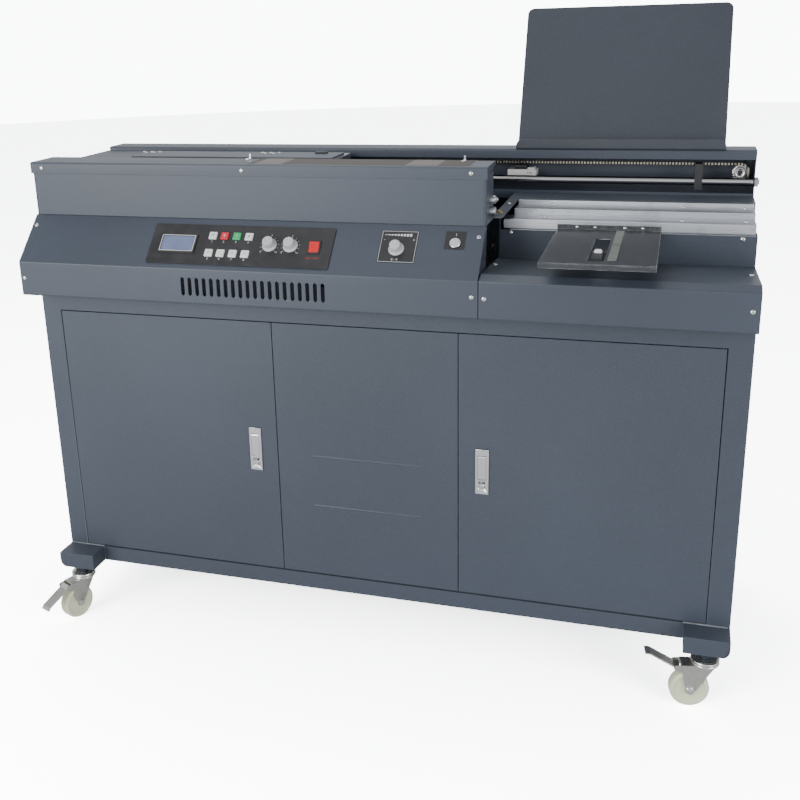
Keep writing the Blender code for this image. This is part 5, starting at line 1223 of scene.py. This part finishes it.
rim = rack.modifiers.new("Rim", "BEVEL")
rim.width = 0.0005
rim.segments = 2
rim.limit_method = "ANGLE"
rim.angle_limit = math.radians(60)
rack_coat = finish_material("rack_powder_coat", powder_coat, {"Colour": (0.042, 0.048, 0.062, 1)})
settle(rack, "frame", rack_coat)
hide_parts("cover_rack")

# Clamp carriage and its moving jaw: aluminium jaws under top plates in the charcoal coat. Two groups of
# screws hold each arm under the plates.
painted_from = 1.0147


def clamp_material():
    """Milled aluminium below the top plates, powder coat above."""
    made, tree, shader = new_material("clamp_finish")
    bare_metal = tree.nodes.new("ShaderNodeGroup")
    bare_metal.node_tree = bright_metal
    bare_metal.inputs["Grain"].default_value = (1.0, 60.0, 60.0)
    coat = tree.nodes.new("ShaderNodeGroup")
    coat.node_tree = powder_coat
    height = node(tree, "SeparateXYZ", {"Vector": own_place(tree)}).outputs["Z"]
    painted = node(tree, "Math", {0: height, 1: painted_from}, operation="GREATER_THAN").outputs[0]
    bare = node(tree, "Math", {0: 1.0, 1: painted}, operation="SUBTRACT").outputs[0]
    colour = mix(tree, painted, bare_metal.outputs["Colour"], coat.outputs["Colour"])
    tree.links.new(colour, shader.inputs["Base Color"])
    rough = node(tree, "MapRange", {
        "Value": painted, "To Min": bare_metal.outputs["Roughness"], "To Max": coat.outputs["Roughness"],
    }).outputs["Result"]
    tree.links.new(rough, shader.inputs["Roughness"])
    tree.links.new(coat.outputs["Normal"], shader.inputs["Normal"])
    tree.links.new(bare, shader.inputs["Metallic"])
    return made


clamp_finish = clamp_material()
dressed("carriage", clamp_finish, 0.0008)
dressed("clamp_jaw", clamp_finish, 0.0008)
jaw_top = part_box("clamp_jaw")[1].z
clamp_screws = []
for middle in (-0.569, -0.280):
    for along, across in ((-0.020, 0.094), (-0.010, 0.084), (0, 0.094), (0.010, 0.084), (0.020, 0.094)):
        clamp_screws.append((middle + along, across, jaw_top))
driven("clamp_screws", clamp_screws, upwards, "clamp_jaw", 0.0036)
trip = blank("clamp_trip_plate", (-0.176, 0.086, jaw_top - 0.0003), (-0.150, 0.102, jaw_top + 0.0035), 0.0012, 3)
settle(trip, "clamp_jaw", inner_black)

# Glue line inside the hood: the open tank with its roller, and the milling cutter on its motor.
tank_metal = metal(
    "tank_aluminium", (0.55, 0.54, 0.50), (0.30, 0.25, 0.17), Grain=(1.0, 1.0, 20.0), Scale=30.0, Stain=0.9,
)
dressed("glue_tank", tank_metal, 0.0006)
dressed("glue_roller", sprocket_steel, 0.0004)
dressed("milling_motor", motor_paint, 0.0006)
dressed("milling_cutter", sprocket_steel, 0)

# Swivel castors: zinc-plated pressings with cream nylon wheels, and a brake pedal on the front two. Two
# rolled rings hold the balls, a nut holds each stem under its foot bar, and the axles have nuts.
zinc = metal(
    "zinc_plating", (0.62, 0.61, 0.57), (0.38, 0.36, 0.31), Grain=(1.0, 1.0, 1.0), Scale=90.0, Low=0.26,
    High=0.42, Stain=0.6,
)
nylon = finish_material("cream_nylon", moulded, {
    "Colour": (0.80, 0.82, 0.60, 1), "Worn": (0.58, 0.58, 0.42, 1), "Relief": 0.06, "Low": 0.35, "High": 0.5,
}, Subsurface_Weight=0.15)
race_bright = metal(
    "raceway_zinc", (0.78, 0.77, 0.74), (0.42, 0.40, 0.36), Grain=(1.0, 1.0, 1.0), Scale=60.0, Low=0.16,
    High=0.30, Stain=0.5,
)
dark_zinc = metal(
    "dark_zinc", (0.20, 0.19, 0.17), (0.09, 0.085, 0.075), Grain=(1.0, 1.0, 1.0), Scale=90.0, Low=0.35,
    High=0.5, Stain=0.6, Metallic=0.9,
)
castors = ("front_left", "front_right", "rear_left", "rear_right")
castor_joints = frame["record"]["behaviour"]["joints"]
stem_x, stem_front, stem_rear = 0.6775, -0.204, 0.267
foot_underside = 0.1187
washer_height = 0.0015
leg_face = 0.0158
raceway_profile = [
    (0.0130, 0.0922), (0.0248, 0.0922), (0.0262, 0.0929), (0.0268, 0.0945), (0.0264, 0.0961), (0.0252, 0.0972),
    (0.0252, 0.0978), (0.0264, 0.0990), (0.0269, 0.1008), (0.0262, 0.1027), (0.0246, 0.1037), (0.0228, 0.1040),
    (0.0205, 0.1047), (0.0130, 0.1047), (0.0130, 0.0922),
]
collar_profile = [(0, 0.0012), (0.0072, 0.0012), (0.0077, 0.0007), (0.0077, 0), (0, 0)]
wheel_half = [
    (0.0053, 0.0128), (0.0090, 0.0128), (0.0098, 0.0120), (0.0104, 0.0098), (0.0120, 0.0092), (0.0262, 0.0088),
    (0.0284, 0.0096), (0.0296, 0.0114), (0.0312, 0.0122), (0.0345, 0.0120), (0.0364, 0.0106), (0.0373, 0.0086),
    (0.0375, 0.0060),
]
for place_name in castors:
    fork_body = place_name + "_fork"
    dressed(place_name + "_castor_fork", zinc, 0.0006, 2, 0.004)
    if place_name.startswith("front"):
        dressed(place_name + "_castor_pedal", zinc, 0.0005, 2, 0.004)
    stem_y = stem_front if "front" in place_name else stem_rear
    stem = Vector((stem_x if "right" in place_name else -stem_x, stem_y, 0))
    race = turned(place_name + "_raceway", raceway_profile, 64)
    race.location = stem
    settle(race, fork_body, race_bright)
    washer_place = stem + Vector((0, 0, foot_underside - washer_height))
    nut = hexagon(place_name + "_stem_nut", 0.0098, 0.0070, 0.0055)
    lay(nut, washer_place, (0, 0, -1))
    washer = turned(place_name + "_washer", [
        (0, washer_height), (0.0112, washer_height), (0.0118, washer_height - 0.0005), (0.0118, 0), (0, 0),
    ])
    washer.location = washer_place
    settle(merged(place_name + "_stem_fixing", [nut, washer]), "frame", dark_zinc)
    axle = next(joint for joint in castor_joints if joint["name"] == place_name + "_roll")
    middle, along = Vector(axle["pos_m"]), Vector(axle["axis"]).normalized()
    other_half = [(radius, -height) for radius, height in reversed(wheel_half)]
    wheel = turned(place_name + "_wheel_tread", wheel_half + other_half + wheel_half[:1], 72)
    lay(wheel, middle, along)
    settle(wheel, place_name + "_wheel", nylon)
    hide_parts(place_name + "_castor_wheel")
    ends = []
    for side in (-1, 1):
        collar = turned(place_name + "_collar", collar_profile, 40)
        lay(collar, middle + along * side * leg_face, along * side)
        head = hexagon(place_name + "_axle_head", 0.0072, 0.0034, 0.0038)
        lay(head, middle + along * side * (leg_face + 0.0011), along * side)
        ends += [collar, head]
    settle(merged(place_name + "_axle_ends", ends), fork_body, plated)
